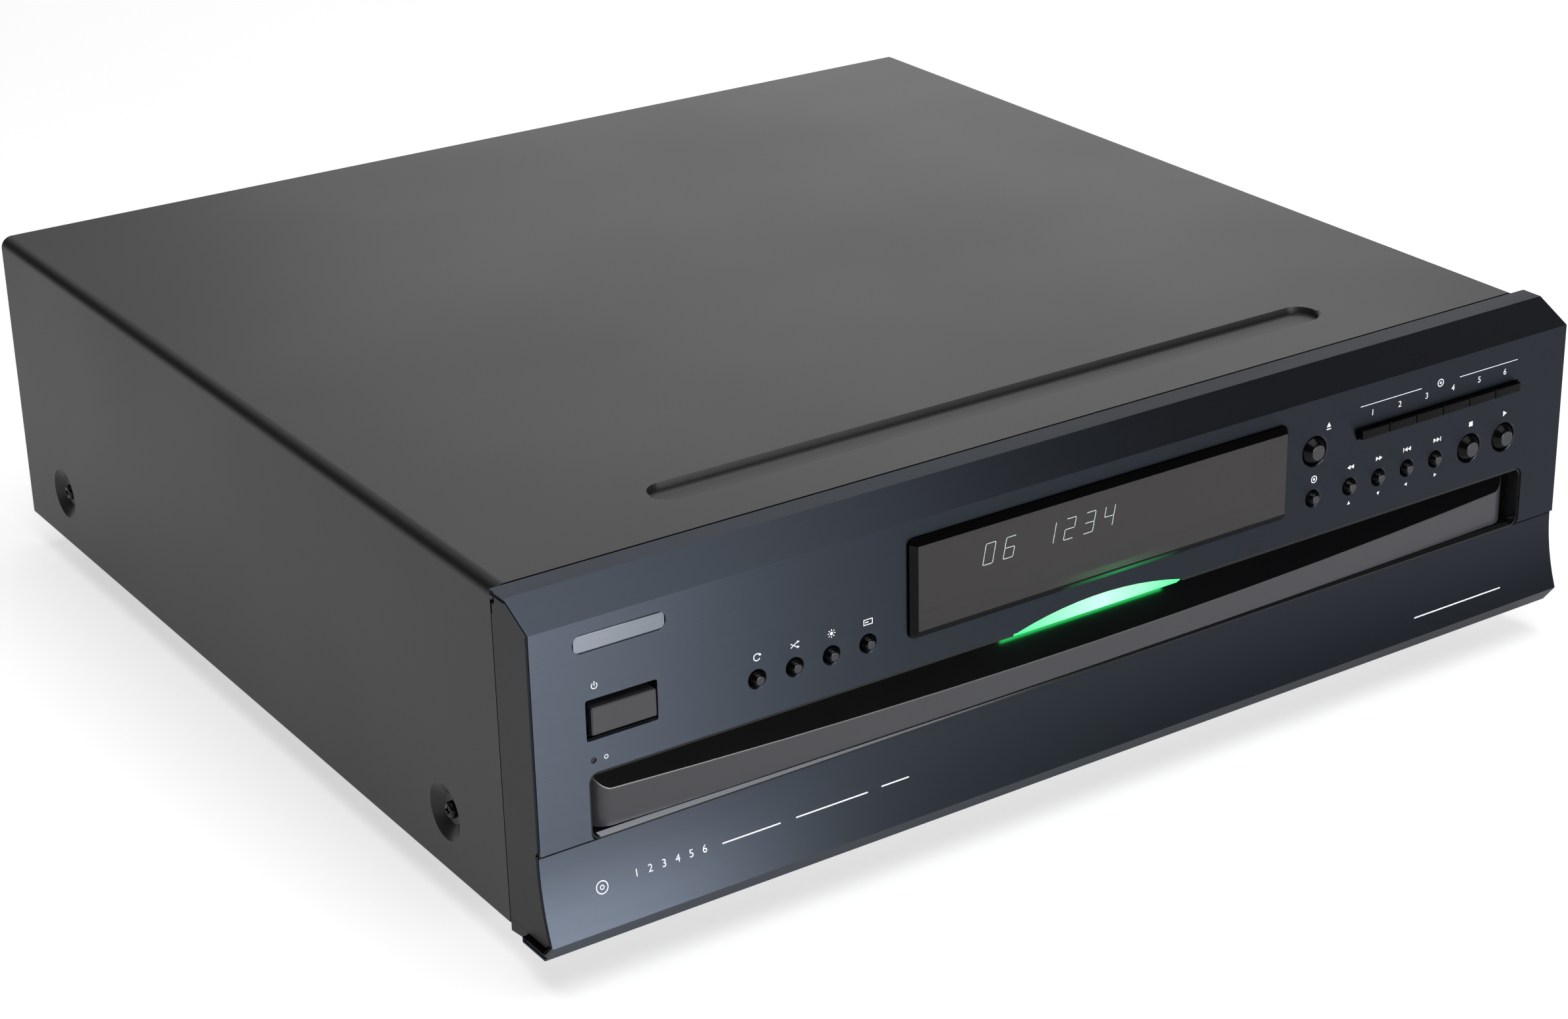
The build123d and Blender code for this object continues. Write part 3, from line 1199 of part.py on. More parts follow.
# Screws: two in each side, six through the back and one up through each foot
screws = []
for hand in (-1, 1):
    for screw_y in side_screw_y:
        place = (hand * (cover_half - dish_depth), face_y + screw_y, side_screw_z)
        seat = Plane(origin=place, z_dir=(hand, 0, 0))
        screws.append(seat.location * screw_solid(cover_screw_length))
for x, z in back_screws:
    seat = Plane(origin=(x, face_y + back_face, z), z_dir=(0, 1, 0))
    screws.append(seat.location * screw_solid(cover_screw_length))
for hand in (-1, 1):
    for foot_y in (foot_front_y, foot_back_y):
        seat = Plane(origin=(hand * foot_x, face_y + foot_y, foot_recess), z_dir=(0, 0, -1))
        screws.append(seat.location * screw_solid(foot_screw_length))
save(Compound(children=screws), "screws")
print("written")
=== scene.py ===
"""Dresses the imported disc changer: finishes, printing, lit parts and a plain studio."""
from __future__ import annotations

import json
import logging
import math
from dataclasses import dataclass, field
from enum import Enum
from typing import ClassVar

import bmesh
import bpy
from mathutils import Matrix, Vector
from mathutils.bvhtree import BVHTree

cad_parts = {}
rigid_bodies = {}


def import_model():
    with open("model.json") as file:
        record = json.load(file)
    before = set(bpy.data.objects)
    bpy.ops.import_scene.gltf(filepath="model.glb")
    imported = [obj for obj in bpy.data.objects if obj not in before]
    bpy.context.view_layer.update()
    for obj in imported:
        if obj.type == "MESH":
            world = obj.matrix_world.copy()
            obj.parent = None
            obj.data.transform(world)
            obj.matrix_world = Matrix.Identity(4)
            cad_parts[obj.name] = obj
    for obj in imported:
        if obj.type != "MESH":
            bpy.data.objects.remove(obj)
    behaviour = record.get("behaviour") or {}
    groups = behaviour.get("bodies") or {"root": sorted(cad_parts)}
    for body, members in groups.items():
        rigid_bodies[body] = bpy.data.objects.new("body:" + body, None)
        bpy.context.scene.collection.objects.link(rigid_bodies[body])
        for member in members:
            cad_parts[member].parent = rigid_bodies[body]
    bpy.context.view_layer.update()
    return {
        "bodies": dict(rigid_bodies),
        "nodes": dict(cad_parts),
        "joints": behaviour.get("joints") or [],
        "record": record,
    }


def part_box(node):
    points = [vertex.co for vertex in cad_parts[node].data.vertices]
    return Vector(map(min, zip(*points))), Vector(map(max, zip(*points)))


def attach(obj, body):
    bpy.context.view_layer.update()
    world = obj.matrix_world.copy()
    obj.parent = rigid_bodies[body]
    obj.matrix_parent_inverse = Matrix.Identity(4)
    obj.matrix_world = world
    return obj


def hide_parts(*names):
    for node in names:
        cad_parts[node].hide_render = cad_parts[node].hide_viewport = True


LOG = logging.getLogger("changer")
MM = 0.001
WHITE = "#ffffff"
FULL_TURN = 2 * math.pi
CLOUD_RANGE = (0.3, 0.7)
Point = tuple[float, float]
Shape = bmesh.types.BMesh
Piece = bpy.types.Object
Edge = bmesh.types.BMEdge
Socket = bpy.types.NodeSocket
Outputs = bpy.types.NodeOutputs
Colour = str | Socket


def linear(colour: str) -> tuple[float, float, float, float]:
    """Turns an sRGB hex colour into linear light.

    Args:
        colour: Six hex digits with a leading hash.

    Returns:
        Red, green, blue and full opacity for a Blender socket.
    """
    parts = [int(colour[i:i + 2], 16) / 255 for i in (1, 3, 5)]
    parts = [p / 12.92 if p <= 0.04045 else ((p + 0.055) / 1.055) ** 2.4 for p in parts]
    return (parts[0], parts[1], parts[2], 1.0)


def linked(name: str, data: bpy.types.ID) -> Piece:
    """Returns a new object of the scene that shows the data."""
    made = bpy.data.objects.new(name, data)
    bpy.context.scene.collection.objects.link(made)
    return made


def modify(piece: Piece, kind: str, **settings: object) -> None:
    """Adds a modifier of a kind to a piece and sets the named fields.

    Args:
        piece: The mesh object.
        kind: Blender's type name of the modifier.
        settings: Field names with their values.
    """
    modifier = piece.modifiers.new(kind.lower(), kind)
    for key, value in settings.items():
        setattr(modifier, key, value)


def circle(steps: int) -> list[Point]:
    """Returns the places of even steps round a circle of radius one."""
    return [(math.cos(FULL_TURN * i / steps), math.sin(FULL_TURN * i / steps)) for i in range(steps)]


def wrap(shape: Shape, loops: list[list[bmesh.types.BMVert]]) -> None:
    """Joins each closed loop of vertices to the next one with a band of faces.

    Args:
        shape: Takes the faces.
        loops: Loops of the same number of vertices.
    """
    for first, second in zip(loops, loops[1:]):
        for i in range(len(first)):
            j = (i + 1) % len(first)
            shape.faces.new((first[i], second[i], second[j], first[j]))


@dataclass
class Graph:
    """A node tree, with a short way to add each kind of node that the finishes share."""

    tree: bpy.types.NodeTree

    @classmethod
    def fresh(cls, holder: bpy.types.Material | bpy.types.World) -> Graph:
        """Empties a node tree for new nodes.

        Args:
            holder: The material or the world whose tree it is.

        Returns:
            The empty tree.
        """
        holder.use_nodes = True
        holder.node_tree.nodes.clear()
        return cls(holder.node_tree)

    def add(self, kind: str, values: dict | None = None) -> Outputs:
        """Adds one node.

        Args:
            kind: Blender's type name of the node.
            values: Attribute names and input sockets, each with its value or with the socket that feeds it. Colours
                are given in sRGB hex.

        Returns:
            The node's outputs.
        """
        node = self.tree.nodes.new(kind)
        for key, value in (values or {}).items():
            if isinstance(value, str) and value.startswith("#"):
                value = linear(value)
            if isinstance(value, Socket):
                self.tree.links.new(value, node.inputs[key])
            elif isinstance(key, str) and hasattr(node, key) and key not in node.inputs:
                setattr(node, key, value)
            else:
                node.inputs[key].default_value = value
        return node.outputs

    def place(self) -> Socket:
        """Returns the piece's own coordinates in metres."""
        return self.add("ShaderNodeTexCoord")["Object"]

    def axes(self, vector: Socket) -> Outputs:
        """Returns the X, Y and Z of a vector."""
        return self.add("ShaderNodeSeparateXYZ", {"Vector": vector})

    def noise(self, vector: Socket, scale: float, detail: float = 2.0, roughness: float = 0.5) -> Socket:
        """Returns cloudy noise with so many waves to the metre."""
        return self.add("ShaderNodeTexNoise", {"Scale": scale, "Detail": detail, "Roughness": roughness,
                                               "Vector": vector})["Fac"]

    def cells(self, vector: Socket, size_mm: float, feature: str = "F1") -> Socket:
        """Returns the distances in a cell pattern of a size in millimetres."""
        return self.add("ShaderNodeTexVoronoi", {"feature": feature, "Scale": 1 / (size_mm * MM),
                                                 "Vector": vector})["Distance"]

    def span(self, value: Socket, low: float, high: float, start: float = 0.0, end: float = 1.0,
             curve: str = "LINEAR") -> Socket:
        """Maps a value that runs from start to end onto the range from low to high.

        Args:
            value: What is mapped.
            low: Result at the start.
            high: Result at the end.
            start: Value that gives the low result.
            end: Value that gives the high result.
            curve: Blender's name of the way between.

        Returns:
            The mapped value.
        """
        return self.add("ShaderNodeMapRange", {"interpolation_type": curve, "From Min": start, "From Max": end,
                                               "To Min": low, "To Max": high, "Value": value})["Result"]

    def maths(self, operation: str, *terms: Socket | float) -> Socket:
        """Returns the result of one operation on sockets and numbers."""
        return self.add("ShaderNodeMath", {"operation": operation, **dict(enumerate(terms))})[0]

    def vectors(self, operation: str, first: Socket, second: tuple[float, float, float]) -> Outputs:
        """Returns the outputs of one operation on a vector and a fixed one."""
        return self.add("ShaderNodeVectorMath", {"operation": operation, 0: first, 1: second})

    def blend(self, factor: Socket | float, first: Colour, second: Colour, mode: str = "MIX") -> Socket:
        """Blends two colours.

        Args:
            factor: Share of the second.
            first: Hex colour or socket.
            second: Hex colour or socket.
            mode: Blender's name of the way to blend.

        Returns:
            The colour.
        """
        return self.add("ShaderNodeMix", {"data_type": "RGBA", "blend_type": mode, "Factor": factor,
                                          6: first, 7: second})[2]

    def mottled(self, colour: str, cloud: Socket, share: float) -> Socket:
        """Returns a colour that a cloud makes lighter and darker by a share."""
        return self.blend(1.0, colour, self.span(cloud, 1 - share, 1 + share, *CLOUD_RANGE), "MULTIPLY")

    def bump(self, height: Socket, strength: float, depth_mm: float) -> Socket:
        """Returns a normal that follows a height."""
        return self.add("ShaderNodeBump", {"Strength": strength, "Distance": depth_mm * MM,
                                           "Height": height})["Normal"]

    def mix(self, factor: Socket | float, first: Socket, second: Socket) -> Socket:
        """Returns two shaders mixed, where the factor is the share of the second."""
        return self.add("ShaderNodeMixShader", {0: factor, 1: first, 2: second})["Shader"]

    def principled(self, values: dict) -> Socket:
        """Returns a principled shader with the named inputs set or linked."""
        return self.add("ShaderNodeBsdfPrincipled", values)["BSDF"]


class Finish:
    """A surface finish that can hand out its Blender material, made once and shared."""

    name: str

    def material(self) -> bpy.types.Material:
        """Returns the finish's material, building it the first time."""
        found = bpy.data.materials.get(self.name)
        if not found:
            found = bpy.data.materials.new(self.name)
            graph = Graph.fresh(found)
            graph.add("ShaderNodeOutputMaterial", {"Surface": self.build(graph)})
        return found

    def build(self, graph: Graph) -> Socket:
        """Adds the finish's nodes to the graph and returns the shader to show."""
        raise NotImplementedError


@dataclass(frozen=True)
class PaintedSteel(Finish):
    """Powder-coated sheet steel: a fine orange-peel skin over a flat sheet, with a broad soft gloss."""

    name: str
    colour: str
    roughness: float
    grain: float = 0.9
    depth: float = 0.02
    shine: float = 0.3
    cloud: float = 9.0

    def build(self, graph: Graph) -> Socket:
        """Adds the coat: peel bump of about a millimetre, faint mottling and slow roughness change.

        Args:
            graph: The material's nodes.

        Returns:
            The shader.
        """
        place = graph.place()
        cloud = graph.noise(place, self.cloud)
        peel = graph.noise(place, 1 / (self.grain * MM), 3.0)
        return graph.principled({
            "IOR": 1.5, "Specular IOR Level": self.shine, "Base Color": graph.mottled(self.colour, cloud, 0.06),
            "Roughness": graph.span(cloud, self.roughness - 0.02, self.roughness + 0.02, *CLOUD_RANGE),
            "Normal": graph.bump(peel, 0.25, self.depth)})


@dataclass(frozen=True)
class BrushedAnodised(Finish):
    """Anodised aluminium, brushed along X: fine grain lines that stretch every reflection across them.

    A band between two heights can be painted dark as painted shade, and the whole normal can be tilted one fixed
    way so that a strip catches a lamp as a painted highlight.
    """

    name: str
    colour: str
    roughness: float
    line_mm: float = 0.22
    length_mm: float = 90.0
    lean: float = 0.98
    shade_mm: Point = (0.0, 0.0)
    shade: str = "#0c0e11"
    tilt: tuple[float, float, float] | None = None

    def build(self, graph: Graph) -> Socket:
        """Adds the brushed grain. Real grit leaves 0.05 mm lines; they are drawn four times coarser to show.

        Args:
            graph: The material's nodes.

        Returns:
            The shader.
        """
        place = graph.place()
        stretched = graph.add("ShaderNodeMapping", {"Scale": (self.line_mm / self.length_mm, 1.0, 1.0),
                                                    "Vector": place})["Vector"]
        grain = graph.noise(stretched, 1 / (self.line_mm * MM), 4.0, 0.6)
        low, high = (edge * MM for edge in self.shade_mm)
        # Painted shade: the band between the two heights takes the dark shade colour
        band = graph.maths("COMPARE", graph.axes(place)["Z"], (low + high) / 2, (high - low) / 2)
        across = graph.vectors("CROSS_PRODUCT", graph.add("ShaderNodeNewGeometry")["Normal"], (1.0, 0.0, 0.0))
        values = {"Metallic": 1.0, "Anisotropic": self.lean,
                  "Base Color": graph.blend(band, graph.mottled(self.colour, grain, 0.05), self.shade),
                  "Roughness": graph.span(grain, self.roughness - 0.03, self.roughness + 0.03, *CLOUD_RANGE),
                  "Tangent": graph.vectors("ADD", across["Vector"], (0.0, 0.0, 0.001))["Vector"]}
        if self.tilt:
            values["Normal"] = graph.add("ShaderNodeCombineXYZ", dict(zip("XYZ", self.tilt)))["Vector"]
        return graph.principled(values)


@dataclass(frozen=True)
class MouldedPlastic(Finish):
    """Injection-moulded ABS: a spark-eroded grain in the tool leaves a fine even matt texture."""

    name: str
    colour: str
    roughness: float
    grain: float = 0.4
    strength: float = 0.3
    index: float = 1.53

    def build(self, graph: Graph) -> Socket:
        """Adds the moulded grain and a slight change of tone over the surface.

        Args:
            graph: The material's nodes.

        Returns:
            The shader.
        """
        place = graph.place()
        cloud = graph.noise(place, 25.0, 3.0)
        return graph.principled({
            "IOR": self.index, "Base Color": graph.mottled(self.colour, cloud, 0.07),
            "Roughness": graph.span(cloud, self.roughness - 0.03, self.roughness + 0.05),
            "Normal": graph.bump(graph.cells(place, self.grain), self.strength, 0.02)})


class Facing(Enum):
    """Which way the zone faces, for a finish that shades part of a piece by the way it faces."""

    UP = (0.0, 0.0, 1.0)
    FRONT = (0.0, -1.0, 0.0)


@dataclass(frozen=True)
class TwoTone(Finish):
    """Moulded ABS in two finishes, parted by the way the surface faces: the zone that faces one way, and all the
    rest, where the darker of the two is painted shade.
    """

    name: str
    facing: Facing
    zone: str
    zone_roughness: float
    rest: str
    rest_roughness: float
    limit: float = 0.4
    zone_index: float = 1.5
    rest_index: float = 1.5
    grain: float = 0.3

    def build(self, graph: Graph) -> Socket:
        """Adds both zones, parted by the way the surface faces, with a fine moulded grain under both.

        Args:
            graph: The material's nodes.

        Returns:
            The shader.
        """
        place = graph.place()
        lean = graph.vectors("DOT_PRODUCT", graph.add("ShaderNodeNewGeometry")["Normal"], self.facing.value)
        cloud = graph.noise(place, 25.0, 3.0)
        normal = graph.bump(graph.cells(place, self.grain), 0.1, 0.02)
        rest, zone = (graph.principled({"IOR": index, "Base Color": colour, "Normal": normal,
                                        "Roughness": graph.span(cloud, roughness - 0.02, roughness + 0.03)})
                      for colour, roughness, index in ((self.rest, self.rest_roughness, self.rest_index),
                                                       (self.zone, self.zone_roughness, self.zone_index)))
        return graph.mix(graph.maths("GREATER_THAN", lean["Value"], self.limit), rest, zone)


@dataclass(frozen=True)
class SmokedAcrylic(Finish):
    """Smoked cast acrylic: a deep, slightly brown body under a hard polished face."""

    name: str
    haze: str = "#252223"
    tint: str = "#d8d2cd"
    smoke: float = 0.6
    index: float = 1.49
    clear_x: Point = (-78.0, 78.7)
    clear_z: Point = (85.9, 115.9)
    # Where the painted green reflection of the lens lies on the lower edge
    glow_x: float = 6.0
    glow_half: float = 26.0
    glow_z: float = 85.2

    def build(self, graph: Graph) -> Socket:
        """Adds a polished skin over a hazy clear body, black at its bevels, with a painted green reflection of the
        lens glowing on its lower edge.

        Args:
            graph: The material's nodes.

        Returns:
            The shader.
        """
        place = graph.place()
        axes = graph.axes(place)
        gloss = graph.span(graph.noise(place, 30.0), 0.03, 0.06)
        clear = graph.add("ShaderNodeBsdfTransparent", {"Color": self.tint})["BSDF"]
        body = graph.add("ShaderNodeBsdfDiffuse", {"Color": self.haze})["BSDF"]
        pane = [graph.maths("COMPARE", axes[name], (low + high) / 2 * MM, (high - low) / 2 * MM)
                for name, (low, high) in (("X", self.clear_x), ("Z", self.clear_z))]
        # Painted reflection: near the lens the lower edge emits green, standing in for the lens's light reflected
        # in it
        away = graph.maths("ABSOLUTE", graph.maths("SUBTRACT", axes["X"], self.glow_x * MM))
        glow = graph.maths("MULTIPLY", graph.span(away, 0.9, 0.0, 0.0, self.glow_half * MM),
                           graph.maths("LESS_THAN", axes["Z"], self.glow_z * MM))
        edge = graph.principled({"IOR": self.index, "Specular IOR Level": 0.15, "Base Color": "#030303",
                                 "Emission Color": "#1f8f4d", "Emission Strength": glow,
                                 "Roughness": gloss})
        skin = graph.add("ShaderNodeBsdfGlossy", {"Color": WHITE, "Roughness": gloss})["BSDF"]
        outside = graph.maths("SUBTRACT", 1.0, graph.add("ShaderNodeNewGeometry")["Backfacing"])
        mirror = graph.maths("MULTIPLY", graph.add("ShaderNodeFresnel", {"IOR": self.index})["Fac"], outside)
        face = graph.mix(mirror, graph.mix(self.smoke, clear, body), skin)
        return graph.mix(graph.maths("MULTIPLY", *pane), edge, face)


@dataclass(frozen=True)
class LitAcrylic(Finish):
    """Frosted clear acrylic with green lamps behind it: brightest along its middle, and dim at its ends."""

    name: str
    core: str = "#b0ffd2"
    edge: str = "#3fe487"
    half_width: float = 0.036
    power: float = 1.6

    def build(self, graph: Graph) -> Socket:
        """Adds the glow, which falls from the middle to both ends along X.

        Args:
            graph: The material's nodes.

        Returns:
            The shader.
        """
        place = graph.place()
        away = graph.maths("ABSOLUTE", graph.axes(place)["X"])
        tone = graph.blend(graph.span(away, 1.0, 0.0, 0.0, self.half_width), self.edge, self.core)
        return graph.principled({
            "Base Color": "#0c3a1d", "Roughness": 0.25, "IOR": 1.49, "Emission Color": tone,
            "Emission Strength": graph.span(graph.noise(place, 400.0), 0.75 * self.power, self.power)})


@dataclass(frozen=True)
class Phosphor(Finish):
    """Vacuum-fluorescent phosphor: an even pale glow with the grain of the printed powder."""

    name: str
    colour: str = "#cdeef4"
    power: float = 26.0

    def build(self, graph: Graph) -> Socket:
        """Adds the glow with its powder grain."""
        grain = graph.noise(graph.place(), 3000.0)
        return graph.add("ShaderNodeEmission", {"Color": self.colour, "Strength": graph.span(
            grain, 0.8 * self.power, self.power)})["Emission"]


@dataclass(frozen=True)
class PrintedInk(Finish):
    """Screen-printed ink: a thin matt layer with soft, slightly uneven cover."""

    name: str
    colour: str = "#d9dadd"
    thin: str = "#c3c5c9"

    def build(self, graph: Graph) -> Socket:
        """Adds the ink with a mesh mark that is too fine to show on the real print."""
        cover = graph.noise(graph.place(), 1800.0)
        return graph.principled({"Roughness": 0.6, "Base Color": graph.blend(cover, self.thin, self.colour)})


@dataclass(frozen=True)
class PlatedMetal(Finish):
    """Plated or bare metal with the fine scratches of handling and rolling."""

    name: str
    colour: str
    roughness: float
    scratch_mm: float = 1.2
    spread: float = 0.07

    def build(self, graph: Graph) -> Socket:
        """Adds the metal with cloudy plating and a rolled grain.

        Args:
            graph: The material's nodes.

        Returns:
            The shader.
        """
        place = graph.place()
        rolled = graph.add("ShaderNodeMapping", {"Scale": (1.0, 0.05, 1.0), "Vector": place})["Vector"]
        lines = graph.noise(rolled, 1 / (self.scratch_mm * MM), 3.0)
        cloud = graph.noise(place, 60.0, 5.0)
        return graph.principled({
            "Metallic": 1.0, "Base Color": self.colour, "Normal": graph.bump(lines, 0.15, 0.01),
            "Roughness": graph.span(cloud, self.roughness - self.spread, self.roughness + self.spread)})


@dataclass(frozen=True)
class Laminate(Finish):
    """Circuit board: green solder mask over copper tracks, which show as faint raised lines."""

    name: str
    colour: str = "#1d4a2a"
    track: str = "#2f6a3c"
    track_mm: float = 2.2

    def build(self, graph: Graph) -> Socket:
        """Adds the mask with its pattern of tracks."""
        edge = graph.span(graph.cells(graph.place(), self.track_mm, "DISTANCE_TO_EDGE"), 0.0, 1.0, 0.05, 0.12)
        return graph.principled({"Roughness": 0.32, "Base Color": graph.blend(edge, self.track, self.colour)})


class Finishes:
    """Every finish on the changer, each named for its material and how its surface was made."""

    COVER = PaintedSteel("powder_coated_steel", "#181718", 0.38, shine=0.42)
    BACK = PaintedSteel("black_painted_steel", "#232324", 0.5)
    CHASSIS = PlatedMetal("zinc_plated_steel", "#b9bcbd", 0.34)
    # The band from 48.1 to 48.75 mm is painted shade under the step of the plate's lower curve
    FACE = BrushedAnodised("anodised_aluminium", "#3a3f47", 0.35, shade_mm=(48.1, 48.75))
    CHEEK = MouldedPlastic("moulded_abs_cheek", "#222121", 0.54)
    FRAME = MouldedPlastic("gloss_abs_frame", "#0b0b0c", 0.24, 0.3, 0.05, index=1.4)
    # Bright metal strip with a fixed tilted normal: a painted highlight on the sill's front edge
    SILL = BrushedAnodised("foil_on_sill", "#686b70", 0.2, 0.3, 20.0, tilt=(0.0, -0.64, 0.77))
    # The door's up-facing brow is painted near black: painted shade
    DOOR = TwoTone("painted_abs_door", Facing.UP, "#020203", 0.19, "#2b2b2f", 0.34, zone_index=1.36)
    # The keys' flanks are painted black as painted shade; only the front face keeps the grey
    KEY = TwoTone("painted_abs_key", Facing.FRONT, "#242428", 0.26, "#030304", 0.18, 0.95, rest_index=1.25)
    DISC_KEY = MouldedPlastic("gloss_abs_key", "#040405", 0.14, 0.3, 0.05, index=1.2)
    POWER_KEY = MouldedPlastic("painted_abs_power_key", "#2b2b2f", 0.36, 0.3, 0.12)
    WINDOW = SmokedAcrylic("smoked_acrylic")
    LENS = LitAcrylic("lit_acrylic")
    DOTS = Phosphor("phosphor")
    INK = PrintedInk("screen_ink")
    TRAY = MouldedPlastic("moulded_abs_tray", "#262627", 0.45, 0.5, 0.35)
    RAIL = MouldedPlastic("moulded_abs_rail", "#2f2f31", 0.5)
    ACETAL = MouldedPlastic("moulded_acetal", "#e6e2d6", 0.35, 0.8, 0.1)
    SWITCH = MouldedPlastic("moulded_nylon_switch", "#1d1d1d", 0.5)
    RUBBER = MouldedPlastic("moulded_rubber", "#1a1a1a", 0.75, 0.5, 0.4)
    FOOT = MouldedPlastic("moulded_abs_foot", "#202020", 0.55, 0.5, 0.4)
    MOTOR = PlatedMetal("drawn_steel_can", "#b3b4b4", 0.25)
    ROD = PlatedMetal("ground_steel_rod", "#c9cacb", 0.12, 0.6, 0.03)
    NICKEL = PlatedMetal("nickel_plate", "#c8c4bb", 0.18, 0.6, 0.05)
    BLACK_SCREW = PaintedSteel("black_oxide_screw", "#161616", 0.2, 0.5, 0.01)
    CORE = PaintedSteel("varnished_core", "#5c4a3b", 0.45)
    BOARD = Laminate("circuit_laminate")
    TUBE = MouldedPlastic("drawn_tube_glass", "#7a4a30", 0.3, 2.0, 0.05)
    LED = MouldedPlastic("clear_led_resin", "#1a1212", 0.2, 1.0, 0.05)
    CAST = PlatedMetal("die_cast_zinc", "#9b9c9e", 0.42)
    INLAY = BrushedAnodised("bright_anodised_strip", "#62666d", 0.36, 0.3, 20.0)
    WHITE_RING = MouldedPlastic("white_insulator", "#d8d6cf", 0.4, 0.8, 0.05)
    RED_RING = MouldedPlastic("red_insulator", "#a32222", 0.4, 0.8, 0.05)
    ORANGE_RING = MouldedPlastic("orange_insulator", "#c2611c", 0.4, 0.8, 0.05)


class Way(Enum):
    """Which way a printed arrow points, in quarter turns from the right."""

    RIGHT = 0
    UP = 1
    LEFT = 2
    DOWN = 3


@dataclass
class Stamp:
    """Flat printed shapes in millimetres, gathered before they are laid on a surface."""

    points: list[Point] = field(default_factory=list)
    faces: list[list[int]] = field(default_factory=list)
    digit_share: float = 0.7

    def polygon(self, corners: list[Point], x: float = 0.0, z: float = 0.0, degrees: float = 0.0) -> None:
        """Adds one convex outline.

        Args:
            corners: The outline about its own middle.
            x: Middle across.
            z: Middle upward.
            degrees: Turn about the middle.
        """
        cos, sin = math.cos(math.radians(degrees)), math.sin(math.radians(degrees))
        start = len(self.points)
        self.points += [(x + u * cos - v * sin, z + u * sin + v * cos) for u, v in corners]
        self.faces.append(list(range(start, start + len(corners))))

    def bar(self, x: float, z: float, wide: float, high: float) -> None:
        """Adds an upright rectangle about a middle point."""
        w, h = wide / 2, high / 2
        self.polygon([(-w, -h), (w, -h), (w, h), (-w, h)], x, z)

    def arrow(self, x: float, z: float, size: float, way: Way) -> None:
        """Adds a triangle that points one way."""
        back, half = -0.42 * size, 0.5 * size
        self.polygon([(back, -half), (0.48 * size, 0.0), (back, half)], x, z, 90 * way.value)

    def ring(self, x: float, z: float, outer: float, inner: float, start: float = 0.0,
             end: float = 360.0) -> None:
        """Adds a ring or an arc of one.

        Args:
            x: Middle across.
            z: Middle upward.
            outer: Outer radius.
            inner: Inner radius.
            start: First angle in degrees.
            end: Last angle in degrees.
        """
        steps = max(8, int((end - start) / 10))
        turns = [math.radians(start + (end - start) * i / steps) for i in range(steps + 1)]
        for a, b in zip(turns, turns[1:]):
            self.polygon([(radius * math.cos(turn), radius * math.sin(turn))
                          for radius, turn in ((inner, a), (outer, a), (outer, b), (inner, b))], x, z)

    def text(self, words: str, x: float, z: float, height: float) -> None:
        """Adds plain digits in the built-in typeface, centred on a point.

        Args:
            words: The digits.
            x: Middle across.
            z: Middle upward.
            height: Height of a digit.
        """
        curve = bpy.data.curves.new("digits", "FONT")
        curve.body = words
        curve.size = height / self.digit_share
        holder = linked("digits", curve)
        mesh = bpy.data.meshes.new_from_object(holder.evaluated_get(bpy.context.evaluated_depsgraph_get()))
        middle = [(min(v.co[i] for v in mesh.vertices) + max(v.co[i] for v in mesh.vertices)) / 2 for i in (0, 1)]
        start = len(self.points)
        self.points += [(x + v.co.x - middle[0], z + v.co.y - middle[1]) for v in mesh.vertices]
        self.faces += [[start + i for i in face.vertices] for face in mesh.polygons]
        bpy.data.objects.remove(holder)
        bpy.data.meshes.remove(mesh)
        bpy.data.curves.remove(curve)

    def fill(self, shape: Shape, spots: list[Vector], outward: Vector) -> None:
        """Adds the gathered faces to a shape.

        Args:
            shape: Takes the faces.
            spots: Where each gathered point lies.
            outward: Way that every face looks.
        """
        corners = [shape.verts.new(spot) for spot in spots]
        for face in self.faces:
            made = shape.faces.new([corners[i] for i in face])
            made.normal_update()
            if made.normal.dot(outward) < 0:
                made.normal_flip()


@dataclass
class ScatterTree:
    """A Geometry Nodes tree that sets one template on every point, turned and sized by the points."""

    name: str
    finish: Finish

    def build(self) -> bpy.types.NodeTree:
        """Builds the tree with the template as its named input.

        Returns:
            The node group.
        """
        tree = bpy.data.node_groups.new(self.name, "GeometryNodeTree")
        for name, way, kind in (("Points", "INPUT", "Geometry"), ("Template", "INPUT", "Object"),
                                ("Geometry", "OUTPUT", "Geometry")):
            tree.interface.new_socket(name, in_out=way, socket_type=f"NodeSocket{kind}")
        graph = Graph(tree)
        start = graph.add("NodeGroupInput")
        turn, reach = (graph.add("GeometryNodeInputNamedAttribute", {"data_type": "FLOAT_VECTOR", "Name": name})
                       for name in ("turn", "reach"))
        copies = graph.add("GeometryNodeInstanceOnPoints", {
            "Points": graph.add("GeometryNodeMeshToPoints", {"Mesh": start["Points"]})["Points"],
            "Instance": graph.add("GeometryNodeObjectInfo", {"Object": start["Template"]})["Geometry"],
            "Rotation": turn["Attribute"], "Scale": reach["Attribute"]})
        plain = graph.add("GeometryNodeRealizeInstances", {"Geometry": copies["Instances"]})
        painted = graph.add("GeometryNodeSetMaterial", {"Material": self.finish.material(),
                                                        "Geometry": plain["Geometry"]})
        graph.add("NodeGroupOutput", {"Geometry": painted["Geometry"]})
        return tree


